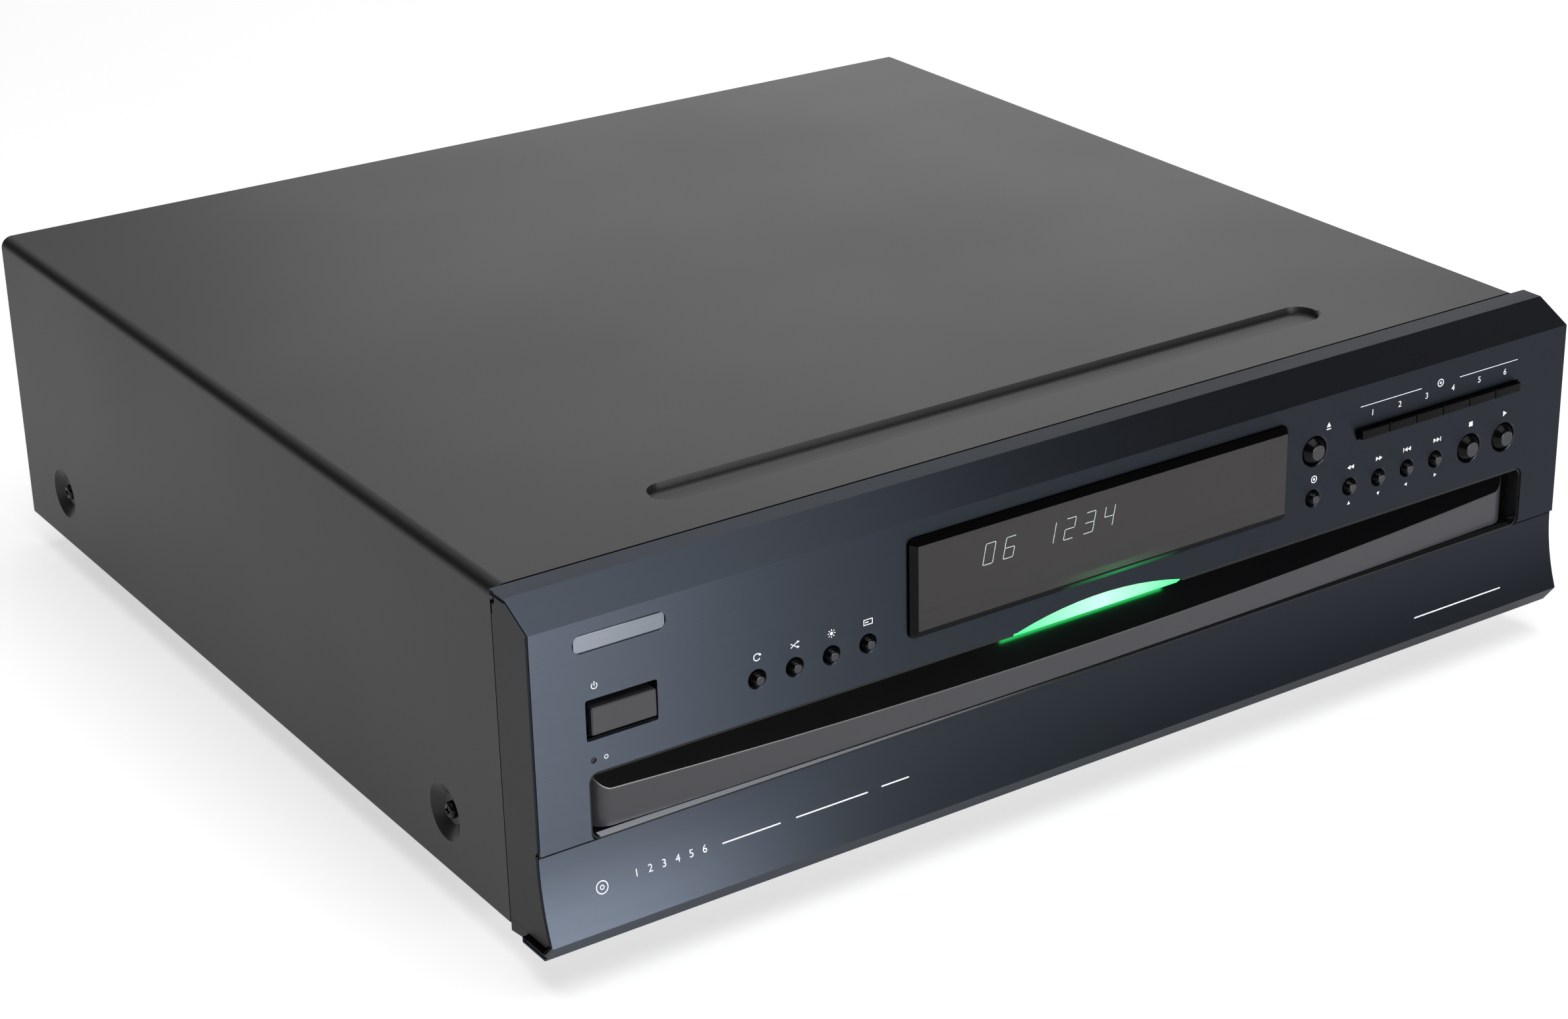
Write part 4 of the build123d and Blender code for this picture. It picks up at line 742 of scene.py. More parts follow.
@dataclass
class Bench:
    """Everything that the sub-assemblies share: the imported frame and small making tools."""

    frame: dict
    made: list[str] = field(default_factory=list)
    skin: BVHTree | None = None
    face_y: float = -0.2121
    half_width: float = 0.2175
    probes_x: tuple[float, ...] = (-0.19, -0.16, 0.05, 0.19, 0.165, 0.0)

    def body_of(self, node: str) -> str:
        """Returns the name of the body that a CAD node belongs to."""
        groups = self.frame["record"]["behaviour"]["bodies"]
        return next(body for body, nodes in groups.items() if node in nodes)

    def paint(self, node: str, finish: Finish) -> None:
        """Puts a finish on a CAD node that stays as it is.

        Args:
            node: The CAD node.
            finish: What it is made of.
        """
        for place in self.frame["nodes"][node].material_slots:
            place.material = finish.material()
        self.made.append(node)

    def register(self, piece: Piece, body: str, finish: Finish,
                 stands_for: str | None = None, slot: str | None = None) -> None:
        """Puts a finish on a piece and ties it to its body, and hides the node that it stands for.

        Args:
            piece: The finished mesh object, at the origin.
            body: Name of the body it rides on.
            finish: What it is made of.
            stands_for: CAD node that it takes the place of, if any.
            slot: Not used.
        """
        piece.data.materials.clear()
        piece.data.materials.append(finish.material())
        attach(piece, body)
        if stands_for:
            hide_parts(stands_for)
        self.made.append(piece.name)

    def mesh_object(self, name: str, shape: Shape, smooth: float = 35.0) -> Piece:
        """Turns a bmesh into an object whose soft edges are shaded smooth.

        Args:
            name: The new object's name.
            shape: The finished bmesh, which is freed.
            smooth: Angle in degrees up to which an edge is shaded smooth.

        Returns:
            The new object, linked to the scene.
        """
        limit = math.radians(smooth)
        for face in shape.faces:
            face.smooth = True
        for edge in shape.edges:
            edge.smooth = len(edge.link_faces) == 2 and edge.calc_face_angle(0.0) < limit
        mesh = bpy.data.meshes.new(name)
        shape.to_mesh(mesh)
        shape.free()
        return linked(name, mesh)

    def merged(self, node: str) -> Shape:
        """Copies a CAD node's shape, with its seams closed and its flat faces whole.

        Args:
            node: The CAD node.

        Returns:
            The copy.
        """
        shape = bmesh.new()
        shape.from_mesh(self.frame["nodes"][node].data)
        bmesh.ops.remove_doubles(shape, verts=shape.verts, dist=1e-6)
        bmesh.ops.dissolve_limit(shape, angle_limit=math.radians(0.05), verts=shape.verts, edges=shape.edges)
        return shape

    def islands(self, node: str) -> list[tuple[Vector, Vector]]:
        """Finds the separate solids of a node.

        Args:
            node: The CAD node.

        Returns:
            The lowest and highest corner of each.
        """
        shape = self.merged(node)
        left, found = set(shape.verts), []
        while left:
            group, edge = set(), [left.pop()]
            while edge:
                vertex = edge.pop()
                group.add(vertex)
                others = {link.other_vert(vertex) for link in vertex.link_edges} & left
                left -= others
                edge += others
            found.append(tuple(Vector([pick(v.co[i] for v in group) for i in range(3)]) for pick in (min, max)))
        shape.free()
        return sorted(found, key=lambda pair: tuple(pair[0]))

    def slab(self, name: str, corners: list[Vector], reach: float) -> Piece:
        """Makes a solid from an outline that is drawn out along X.

        Args:
            name: The new object's name.
            corners: The outline's corners, in metres.
            reach: How far it is drawn out, with its sign.

        Returns:
            The new object.
        """
        shape = bmesh.new()
        face = shape.faces.new([shape.verts.new(corner) for corner in corners])
        pulled = bmesh.ops.extrude_face_region(shape, geom=[face])
        moved = [item for item in pulled["geom"] if isinstance(item, bmesh.types.BMVert)]
        bmesh.ops.translate(shape, verts=moved, vec=(reach, 0, 0))
        bmesh.ops.recalc_face_normals(shape, faces=shape.faces)
        return self.mesh_object(name, shape)

    def film(self, name: str, shape: Shape, thick_mm: float) -> Piece:
        """Makes a thin layer of a flat shape, which grows outward from it.

        Args:
            name: The new object's name.
            shape: The flat shape, which is freed.
            thick_mm: Thickness in millimetres.

        Returns:
            The new object.
        """
        piece = self.mesh_object(name, shape)
        modify(piece, "SOLIDIFY", thickness=thick_mm * MM, offset=-1.0)
        self.apply(piece)
        return piece

    def scatter(self, name: str, copies: list[tuple], template: Piece, finish: Finish) -> Piece:
        """Sets a template on many places by Geometry Nodes, bakes the result and removes the template.

        Args:
            name: The new object's name.
            copies: The place, the turn and the size of each copy, in metres and radians.
            template: What is set on each place.
            finish: What the copies are made of.

        Returns:
            The new object.
        """
        mesh = bpy.data.meshes.new(name)
        mesh.from_pydata([tuple(copy[0]) for copy in copies], [], [])
        for column, label in ((1, "turn"), (2, "reach")):
            layer = mesh.attributes.new(label, "FLOAT_VECTOR", "POINT")
            for index, copy in enumerate(copies):
                layer.data[index].vector = copy[column]
        piece = linked(name, mesh)
        tree = ScatterTree(f"{name}_scatter", finish).build()
        nodes = piece.modifiers.new("scatter", "NODES")
        nodes.node_group = tree
        for socket in tree.interface.items_tree:
            if socket.name == "Template":
                nodes[socket.identifier] = template
        self.apply(piece)
        bpy.data.objects.remove(template)
        return piece

    def plate_y(self, z_mm: float) -> float:
        """Finds how far forward the front plate's skin lies.

        Args:
            z_mm: The height, in millimetres.

        Returns:
            The skin's y in metres.
        """
        if self.skin is None:
            shape = self.merged("front_plate")
            self.skin = BVHTree.FromBMesh(shape)
            shape.free()
        hits = (self.skin.ray_cast(Vector((x, -1.0, z_mm * MM)), Vector((0, 1, 0)))[0] for x in self.probes_x)
        return min(hit.y for hit in hits if hit is not None)

    def refine(self, node: str, finish: Finish, round_mm: float = 0.25, segments: int = 2,
               least_angle: float = 28.0) -> None:
        """Makes a piece from a node's own shape with its sharp edges broken, and lets it take the node's place.

        Args:
            node: The CAD node to copy.
            finish: What the piece is made of.
            round_mm: Width of the broken edge in millimetres, or nought for none.
            segments: Steps across the broken edge.
            least_angle: Edges flatter than this many degrees are left alone.
        """
        piece = self.mesh_object(f"{node}_body", self.merged(node), least_angle)
        if round_mm:
            self.break_edges(piece, round_mm, segments, least_angle)
        self.register(piece, self.body_of(node), finish, node)

    def break_edges(self, piece: Piece, round_mm: float, segments: int, least_angle: float) -> None:
        """Rounds a piece's sharp edges and bakes the result.

        Args:
            piece: The mesh object.
            round_mm: Width of the broken edge in millimetres.
            segments: Steps across the broken edge.
            least_angle: Edges flatter than this many degrees are left alone.
        """
        modify(piece, "BEVEL", width=round_mm * MM, segments=segments, limit_method="ANGLE",
               angle_limit=math.radians(least_angle), miter_outer="MITER_ARC", harden_normals=True)
        self.apply(piece)

    def apply(self, piece: Piece) -> None:
        """Bakes a piece's modifiers into its mesh and removes them.

        Args:
            piece: The mesh object.
        """
        graph = bpy.context.evaluated_depsgraph_get()
        baked = bpy.data.meshes.new_from_object(piece.evaluated_get(graph))
        piece.modifiers.clear()
        piece.data = baked
        baked.name = piece.name


@dataclass
class Assembly:
    """A sub-assembly: nodes that keep their mesh, nodes that are refined, and pieces of its own."""

    bench: Bench

    painted: ClassVar[tuple[tuple, ...]] = ()
    refined: ClassVar[tuple[tuple, ...]] = ()

    def build(self) -> None:
        """Dresses the nodes, each by its row of arguments, and adds the assembly's own pieces."""
        for row in self.painted:
            self.bench.paint(*row)
        for row in self.refined:
            self.bench.refine(*row)
        self.add_pieces()

    def add_pieces(self) -> None:
        """Adds nothing, unless a sub-assembly has pieces of its own."""


@dataclass
class Cabinet(Assembly):
    """Cover, chassis, back panel, cheeks, feet and screws."""

    dish_rim_mm: float = 1.6
    dish_low_mm: float = 20.0
    dish_high_mm: float = 60.0
    dish_step_mm: float = 6.0
    strip_y_mm: float = -157.5
    strip_z_mm: float = 130.2
    strip_deep_mm: float = 9.0
    strip_round_mm: float = 1.3
    fold_weight: float = 0.16
    fold_degrees: float = 28.0
    flat_degrees: float = 14.0

    refined = (("rear_panel", Finishes.BACK, 0.25), ("cheek_left", Finishes.CHEEK, 0.5, 3),
               ("cheek_right", Finishes.CHEEK, 0.5, 3), ("feet", Finishes.FOOT, 0.5),
               ("strain_relief", Finishes.SWITCH, 0.3), ("chassis_base", Finishes.CHASSIS, 0.2, 1))
    # Name, how far its outer and inner face lie inside the end of the plate, outline in y and z, finish and slot
    TRIMS = (("cheek_joint", 2.15, 4.5, ((25.5, 14.7), (26.3, 14.7), (26.3, 121.0), (25.5, 121.0)),
              Finishes.COVER, "cover_steel"),
             ("cheek_toe", 2.0, 5.0, ((15.2, 12.0), (25.6, 10.7), (25.6, 15.2), (15.2, 15.2)),
              Finishes.CHEEK, "cheek_plastic"))
    # Height and radius of a screw's outline from the rim of its recess down to its tip, in radii and lengths
    SCREW_RINGS = ((0.0, 0.62), (-0.03, 0.80), (-0.09, 0.94), (-0.17, 1.0), (-0.3, 1.0), (-0.3, 0.5), (-1.0, 0.46))

    def add_pieces(self) -> None:
        """Adds the cover, the small end pieces and the screws."""
        self.cover()
        self.trims()
        self.screws()

    def trims(self) -> None:
        """Adds the joint fillers and the toes of both cheeks."""
        for hand, side in ((-1, "left"), (1, "right")):
            for name, outer, inner, outline, finish, slot in self.TRIMS:
                x = hand * (self.bench.half_width - outer * MM)
                piece = self.bench.slab(f"{name}_{side}", [(x, self.bench.face_y + y * MM, z * MM)
                                                           for y, z in outline], hand * (outer - inner) * MM)
                self.bench.register(piece, "case", finish, slot=slot)

    def cover(self) -> None:
        """Rounds the cover's pressed edges: widely round the screw dishes and the strip, finely elsewhere."""
        shape = self.bench.merged("top_cover")
        weight = shape.edges.layers.float.new("bevel_weight_edge")
        side_x = max(abs(v.co.x) for v in shape.verts)
        rims = [edge for edge in shape.edges if self.is_strip_rim(edge)]
        bmesh.ops.bevel(shape, geom=rims, offset=self.strip_round_mm * MM, offset_type="OFFSET", segments=4,
                        profile=0.5, affect="EDGES", clamp_overlap=False)
        for edge in shape.edges:
            angle = edge.calc_face_angle(0.0) if len(edge.link_faces) == 2 else 0.0
            if angle >= math.radians(self.flat_degrees):
                fold = self.fold_weight if angle > math.radians(self.fold_degrees) else 0.0
                edge[weight] = 1.0 if self.is_dish_rim(edge, side_x) else fold
        piece = self.bench.mesh_object("top_cover_body", shape, 30)
        modify(piece, "BEVEL", width=self.dish_rim_mm * MM, segments=4, limit_method="WEIGHT", harden_normals=True)
        modify(piece, "WEIGHTED_NORMAL", weight=100, keep_sharp=True)
        self.bench.apply(piece)
        self.bench.register(piece, "case", Finishes.COVER, "top_cover")

    def is_dish_rim(self, edge: Edge, side_x: float) -> bool:
        """Tells whether an edge is a short step of a screw dish's rim in the cover's side.

        Args:
            edge: The edge.
            side_x: How far out the side lies, in metres.

        Returns:
            Whether it is one.
        """
        middle = (edge.verts[0].co + edge.verts[1].co) / 2
        return (abs(middle.x) > side_x - 0.2 * MM and self.dish_low_mm * MM < middle.z < self.dish_high_mm * MM
                and abs(edge.verts[0].co.z - edge.verts[1].co.z) < self.dish_step_mm * MM
                and edge.calc_length() < self.dish_step_mm * MM)

    def is_strip_rim(self, edge: Edge) -> bool:
        """Tells whether an edge is on the front half of the pressed strip's upper outline.

        Args:
            edge: The edge.

        Returns:
            Whether it is one.
        """
        return (len(edge.link_faces) == 2 and edge.calc_face_angle(0.0) > math.radians(self.fold_degrees)
                and all(face.normal.z > 0.2 for face in edge.link_faces)
                and all(0 < self.strip_y_mm * MM - end.co.y < self.strip_deep_mm * MM
                        and end.co.z > self.strip_z_mm * MM for end in edge.verts))

    def screws(self) -> None:
        """Makes every screw from its own place: shank and pan head with a cross recess, set by Geometry Nodes."""
        copies = []
        for low, high in self.bench.islands("screws"):
            size = high - low
            axis = max(range(3), key=lambda i: size[i])
            tip = (low + high) / 2
            outward = 1.0 if tip[axis] > 0 and axis != 2 else -1.0
            tip[axis] = high[axis] if outward > 0 else low[axis]
            normal = Vector((0, 0, 0))
            normal[axis] = outward
            radius = min(size[(axis + 1) % 3], size[(axis + 2) % 3]) / 2
            copies.append((tip, normal.to_track_quat("Z", "Y").to_euler(), (radius, radius, size[axis])))
        piece = self.bench.scatter("case_screws", copies, self.screw_mesh(), Finishes.BLACK_SCREW)
        self.bench.register(piece, "case", Finishes.BLACK_SCREW, "screws")

    def screw_mesh(self) -> Piece:
        """Builds one unit screw, its head's top at the origin, one wide in radius and one long.

        Returns:
            The template object, which is removed after use.
        """
        shape = bmesh.new()
        loops = [[shape.verts.new((radius * u, radius * v, height)) for u, v in circle(32)]
                 for height, radius in self.SCREW_RINGS]
        wrap(shape, loops)
        shape.faces.new(list(reversed(loops[-1])))
        arm, half, floor_share, floor_z = 0.48, 0.12, 0.55, -0.24
        cross = [(u * cos - v * sin, u * sin + v * cos) for cos, sin in ((1, 0), (0, 1), (-1, 0), (0, -1))
                 for u, v in ((arm, -half), (arm, half), (half, half))]
        mouth = [shape.verts.new((x, y, 0.0)) for x, y in cross]
        floor = [shape.verts.new((x * floor_share, y * floor_share, floor_z)) for x, y in cross]
        wrap(shape, [mouth, floor])
        shape.faces.new(floor)
        rims = [shape.edges.get((loop[i - 1], loop[i])) for loop in (mouth, loops[0]) for i in range(len(loop))]
        bmesh.ops.bridge_loops(shape, edges=rims)
        bmesh.ops.recalc_face_normals(shape, faces=shape.faces)
        return self.bench.mesh_object("screw_template", shape, 40)


@dataclass
class FrontPanel(Assembly):
    """Aluminium plate, moulded frame, window, lens, inlay and the printing on them."""

    film_mm: float = 0.03
    end_rim_mm: float = 0.4
    end_sink_mm: float = 0.9
    core_half_mm: float = 0.2
    edge_mm: float = 0.22
    edge_degrees: float = 20.0
    sill_half_mm: float = 196.0
    sill_foil_mm: float = 0.04
    badge_middle_mm: tuple[float, float, float] = (-186.5, 0.36, 116.2)
    badge_size_mm: tuple[float, float, float] = (31.9, 0.44, 5.5)
    key_x: tuple[float, ...] = (121.4, 134.5, 147.6, 160.6, 173.7, 186.7)
    key_digit_z: float = 112.65
    key_digit_mm: float = 2.3
    low_digit_x: float = -184.5
    low_digit_pitch: float = 5.0
    low_digit_z: float = 33.0
    low_digit_mm: float = 2.6
    badge_edge_mm: float = 0.15

    painted = (("indicator_leds", Finishes.LED),)
    refined = (("front_frame", Finishes.FRAME, 0.2), ("display_window", Finishes.WINDOW, 0.12),
               ("light_lens", Finishes.LENS, 0.25))
    # Each mark is a method of the stamp with its arguments; the first two are its middle, in millimetres
    MARKS = (
        # Lines, rings and arrows over and under the right-hand keys
        ("bar", 130.15, 116.0, 29.5, 0.245), ("bar", 178.25, 116.0, 29.1, 0.245),
        ("ring", 154.2, 116.0, 1.5, 1.15), ("ring", 154.2, 116.0, 0.5, 0.2),
        ("arrow", 100.6, 113.0, 2.0, Way.UP), ("bar", 100.6, 111.4, 2.1, 0.4),
        *(("arrow", x, 94.0, 1.7, Way.LEFT) for x in (111.3, 112.9, 138.9, 140.5)),
        *(("arrow", x, 94.0, 1.7, Way.RIGHT) for x in (124.9, 126.5, 153.1, 154.7)),
        ("bar", 137.7, 94.0, 0.35, 1.7), ("bar", 155.9, 94.0, 0.35, 1.7),
        ("bar", 170.9, 96.0, 1.8, 1.8), ("arrow", 188.2, 96.0, 2.1, Way.RIGHT),
        ("arrow", 111.9, 80.3, 1.4, Way.UP), ("arrow", 126.1, 80.3, 1.4, Way.DOWN),
        ("arrow", 139.6, 80.3, 1.4, Way.LEFT), ("arrow", 154.2, 80.3, 1.4, Way.RIGHT),
        ("ring", 94.7, 93.8, 1.4, 1.05), ("ring", 94.7, 93.8, 0.5, 0.0, 0, 350),
        # Turning arrow, crossed arrows, sun and screen over the four left buttons
        ("ring", -137.9, 93.6, 1.35, 1.0, 40, 330), ("arrow", -136.75, 94.35, 1.0, Way.UP),
        ("polygon", ((-1.5, 0.55), (0.9, -1.05), (0.9, -0.7), (-1.5, 0.9)), -123.8, 93.6),
        ("polygon", ((-1.5, -0.9), (0.9, 0.7), (0.9, 1.05), (-1.5, -0.55)), -123.8, 93.6),
        ("arrow", -122.4, 94.5, 1.0, Way.RIGHT), ("arrow", -122.4, 92.7, 1.0, Way.RIGHT),
        ("ring", -109.8, 93.6, 0.6, 0.0, 0, 350),
        *(("polygon", ((0.95, 0.14), (0.95, -0.14), (1.5, -0.14), (1.5, 0.14)), -109.8, 93.6, 45 * spoke)
          for spoke in range(8)),
        ("bar", -95.7, 92.7, 3.6, 0.3), ("bar", -95.7, 94.5, 3.6, 0.3), ("bar", -97.35, 93.6, 0.3, 1.5),
        ("bar", -94.05, 93.6, 0.3, 1.5), ("bar", -96.2, 93.6, 1.3, 0.35),
        # Power sign and the ring beside the standby lamp
        ("ring", -196.0, 101.4, 1.15, 0.85, 125, 415), ("bar", -196.0, 102.1, 0.3, 1.6),
        ("ring", -193.0, 76.4, 0.75, 0.5),
        # Disc sign and plain lines under the tray
        ("ring", -197.0, 32.2, 2.2, 1.85), ("ring", -197.0, 32.2, 0.8, 0.5), ("bar", -142.0, 32.6, 22.0, 0.45),
        ("bar", -111.0, 32.6, 28.0, 0.45), ("bar", -86.0, 32.9, 11.0, 0.45), ("bar", 168.0, 25.9, 44.0, 0.45))

    def add_pieces(self) -> None:
        """Adds the plate with its ends in painted shade, the badge strip, the painted highlight strip on the sill
        and the print.
        """
        self.plate()
        self.inlay()
        self.sill()
        self.prints()

    def plate(self) -> None:
        """Breaks the plate's edges, sinks the middle of each end face and sets a black piece in it as painted
        shade.
        """
        shape = self.bench.merged("front_plate")
        reach = self.bench.half_width - 0.1 * MM
        ends = [face for face in shape.faces if abs(face.normal.x) > 0.99
                and abs(face.calc_center_median().x) > reach]
        bmesh.ops.inset_individual(shape, faces=ends, thickness=self.end_rim_mm * MM,
                                   depth=-self.end_sink_mm * MM, use_even_offset=True)
        # Painted shade: a black piece sits in each sunk end face
        for number, face in enumerate(ends, 1):
            out = math.copysign(self.core_half_mm * MM, face.calc_center_median().x)
            core = self.bench.slab(f"plate_end_{number}",
                                   [vertex.co + Vector((out, 0, 0)) for vertex in face.verts], -2 * out)
            self.bench.register(core, "case", Finishes.FRAME, slot="face_aluminium")
        piece = self.bench.mesh_object("front_plate_body", shape, self.edge_degrees)
        self.bench.break_edges(piece, self.edge_mm, 2, self.edge_degrees)
        self.bench.register(piece, "case", Finishes.FACE, "front_plate")

    def inlay(self) -> None:
        """Sets a plain bright strip in the shallow recess above the power button."""
        shape = bmesh.new()
        bmesh.ops.create_cube(shape, size=1.0)
        for vertex in shape.verts:
            vertex.co = [(middle + share * size) * MM for middle, share, size
                         in zip(self.badge_middle_mm, vertex.co, self.badge_size_mm)]
            vertex.co.y += self.bench.face_y
        piece = self.bench.mesh_object("badge_inlay", shape)
        modify(piece, "BEVEL", width=self.badge_edge_mm * MM, segments=2)
        self.bench.apply(piece)
        self.bench.register(piece, "case", Finishes.INLAY, slot="face_aluminium")

    def sill(self) -> None:
        """Lays a bright metal strip with a fixed tilted normal on the moulded sill under the tray door, as a
        painted highlight.
        """
        shape = bmesh.new()
        shape.faces.new([shape.verts.new((x * self.sill_half_mm * MM, self.bench.face_y + y * MM, z * MM))
                         for x, y, z in ((-1, 0.55, 49.16), (1, 0.55, 49.16), (1, 3.4, 49.37), (-1, 3.4, 49.37))])
        piece = self.bench.film("sill_foil", shape, self.sill_foil_mm)
        self.bench.register(piece, "case", Finishes.SILL, slot="frame_plastic")

    def prints(self) -> None:
        """Prints the plate's marks as a thin film: numbers over the disc keys and below, signs and plain lines."""
        stamp = Stamp()
        for mark, *sizes in self.MARKS:
            getattr(stamp, mark)(*sizes)
        for number, x in enumerate(self.key_x, 1):
            stamp.text(str(number), x, self.key_digit_z, self.key_digit_mm)
            stamp.text(str(number), self.low_digit_x + self.low_digit_pitch * (number - 1), self.low_digit_z,
                       self.low_digit_mm)
        heights = {round(z, 3): z for _, z in reversed(stamp.points)}
        skin = {key: self.bench.plate_y(z) - self.film_mm * MM for key, z in heights.items()}
        shape = bmesh.new()
        stamp.fill(shape, [Vector((x * MM, skin[round(z, 3)], z * MM)) for x, z in stamp.points],
                   Vector((0, -1, 0)))
        piece = self.bench.film("plate_prints", shape, self.film_mm)
        self.bench.register(piece, "case", Finishes.INK, slot="face_aluminium")


@dataclass
class KeySet(Assembly):
    """Power button, round buttons and the six disc keys."""

    refined = (*((f"{name}_button", Finishes.KEY, 0.2, 3, 40)
                 for name in ("repeat", "random", "dimmer", "display", "eject", "skip", "rewind", "forward",
                              "previous", "next", "stop", "play")),
               ("power_button", Finishes.POWER_KEY, 0.35, 3),
               *((f"disc_key_{number}", Finishes.DISC_KEY, 1.1, 4) for number in range(1, 7)))


@dataclass
class DisplayUnit(Assembly):
    """Board, tube and the dotted digits that it shows."""

    shown: str = "06 1234"
    left_mm: float = -45.0
    base_mm: float = 96.6
    pitch_mm: float = 8.4
    high_mm: float = 7.4
    wide_mm: float = 4.0
    slant: float = 0.20
    dot_mm: float = 0.16
    dot_deep_mm: float = 0.03
    dots_per_side: int = 7

    painted = (("front_board", Finishes.BOARD), ("key_switches", Finishes.SWITCH))
    refined = (("display_tube", Finishes.TUBE, 0.5),)
    # The ends of each side of a digit, in widths and heights, and the sides that each digit lights
    SIDES = {"a": (0, 1, 1, 1), "b": (1, 0.5, 1, 1), "c": (1, 0, 1, 0.5), "d": (0, 0, 1, 0), "e": (0, 0, 0, 0.5),
             "f": (0, 0.5, 0, 1), "g": (0, 0.5, 1, 0.5)}
    LIT = {"0": "abcdef", "1": "bc", "2": "abged", "3": "abgcd", "4": "fgbc", "6": "afgedc", " ": ""}

    def spots(self) -> list[Point]:
        """Lists the places of all lit dots.

        Returns:
            Pairs of x and z in millimetres.
        """
        found = []
        for place, digit in enumerate(self.shown):
            for side in self.LIT[digit]:
                x0, z0, x1, z1 = self.SIDES[side]
                for i in range(self.dots_per_side):
                    share = (i + 0.7) / (self.dots_per_side + 0.4)
                    x, z = (x0 + (x1 - x0) * share) * self.wide_mm, (z0 + (z1 - z0) * share) * self.high_mm
                    found.append((self.left_mm + place * self.pitch_mm + x + self.slant * z, self.base_mm + z))
        return found

    def add_pieces(self) -> None:
        """Sets a phosphor dot on every lit place of the tube, by Geometry Nodes."""
        low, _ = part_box("display_tube")
        deep = self.dot_deep_mm * MM
        wide = self.dot_mm * MM
        copies = [((x * MM, low.y - deep, z * MM), (math.pi / 2, 0.0, 0.0), (wide, wide, deep))
                  for x, z in self.spots()]
        shape = bmesh.new()
        bmesh.ops.create_cone(shape, cap_ends=True, segments=10, radius1=1.0, radius2=1.0, depth=1.0)
        piece = self.bench.scatter("display_digits", copies, self.bench.mesh_object("dot_template", shape),
                                   Finishes.DOTS)
        self.bench.register(piece, "case", Finishes.DOTS, slot="tube_glass")


@dataclass
class DiscTray(Assembly):
    """Tray, its door, the turning table and what drives them."""

    centre_y_mm: float = 202.0
    number_radius_mm: float = 44.0
    number_high_mm: float = 7.0
    film_mm: float = 0.02

    refined = (("tray_door", Finishes.DOOR, 0.35, 3, 20), ("tray", Finishes.TRAY, 0.2, 1),
               ("carousel", Finishes.TRAY, 0.3), ("carousel_cap", Finishes.TRAY, 0.3),
               ("carousel_gear", Finishes.ACETAL, 0.0), ("carousel_motor", Finishes.MOTOR, 0.3),
               ("tray_gear", Finishes.ACETAL, 0.0), ("motor_pulley", Finishes.ACETAL, 0.1),
               ("tray_motor", Finishes.MOTOR, 0.3), ("drive_belt", Finishes.RUBBER, 0.0))

    def add_pieces(self) -> None:
        """Prints the numbers one to six between the wells near the table's middle."""
        _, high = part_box("carousel")
        centre = Vector((0.0, self.bench.face_y + self.centre_y_mm * MM, high.z + self.film_mm * MM))
        shape = bmesh.new()
        for number in range(6):
            stamp = Stamp()
            stamp.text(str(number + 1), 0.0, self.number_radius_mm, self.number_high_mm)
            turn = Matrix.Rotation(math.radians(-60 * number + 30), 4, "Z")
            stamp.fill(shape, [centre + turn @ Vector((x * MM, z * MM, 0.0)) for x, z in stamp.points],
                       Vector((0, 0, 1)))
        piece = self.bench.film("table_numbers", shape, self.film_mm)
        self.bench.register(piece, "carousel", Finishes.INK, slot="tray_plastic")


@dataclass
class Mechanism(Assembly):
    """Rails, base, pickup lift, bridge, power supply and main board, which the case holds behind the tray."""

    refined = (("tray_rails", Finishes.RAIL, 0.2, 1), ("mech_base", Finishes.RAIL, 0.2, 1),
               ("lift_frame", Finishes.RAIL, 0.2, 1), ("lift_cam", Finishes.ACETAL, 0.15, 1),
               ("guide_rods", Finishes.ROD, 0.15, 1), ("laser_pickup", Finishes.CAST, 0.2, 1),
               ("sled_gear", Finishes.ACETAL, 0.0), ("spindle_motor", Finishes.MOTOR, 0.2, 1),
               ("disc_platter", Finishes.TRAY, 0.25, 1), ("clamper", Finishes.TRAY, 0.25, 1),
               ("clamp_bridge", Finishes.CHASSIS, 0.15, 1), ("transformer", Finishes.CORE, 0.4, 1),
               ("main_board", Finishes.BOARD, 0.0))


@dataclass
class BackSockets(Assembly):
    """Phono sockets, mini jacks and the optical socket."""

    refined = (("rca_jacks", Finishes.NICKEL, 0.15), ("small_jacks", Finishes.SWITCH, 0.2))
    # Middle in x and z and the finish of each insulator; its outline in radius and distance from the panel
    RINGS = ((178.0, 46.0, Finishes.WHITE_RING), (178.0, 30.0, Finishes.RED_RING),
             (150.0, 30.0, Finishes.ORANGE_RING))
    OUTLINE = ((4.25, 0.05), (6.2, 0.05), (6.2, 1.0), (5.8, 1.4), (4.25, 1.4))

    def add_pieces(self) -> None:
        """Adds the sockets' coloured insulators."""
        _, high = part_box("rear_panel")
        for number, (x, z, finish) in enumerate(self.RINGS, 1):
            shape = bmesh.new()
            loops = [[shape.verts.new(((x + radius * u) * MM, high.y + out * MM, (z + radius * v) * MM))
                      for u, v in circle(48)] for radius, out in self.OUTLINE]
            wrap(shape, loops + loops[:1])
            bmesh.ops.recalc_face_normals(shape, faces=shape.faces)
            piece = self.bench.mesh_object(f"phono_ring_{number}", shape)
            self.bench.register(piece, "case", finish, slot="jack_plastic")


@dataclass(frozen=True)
class Lamp:
    """A rectangular lamp: its place and size in metres, the way it shines, its watts and its colour."""

    name: str
    place: tuple[float, float, float]
    toward: tuple[float, float, float]
    size: Point
    power: float
    colour: str = "#ffffff"

    def hang(self) -> None:
        """Adds the lamp to the scene, unseen by the camera."""
        data = bpy.data.lights.new(self.name, "AREA")
        data.shape = "RECTANGLE"
        data.size, data.size_y = self.size
        data.energy = self.power
        data.color = linear(self.colour)[:3]
        lamp = linked(self.name, data)
        lamp.location = self.place
        lamp.visible_camera = False
        lamp.rotation_mode = "QUATERNION"
        lamp.rotation_quaternion = Vector(self.toward).to_track_quat("-Z", "Y")


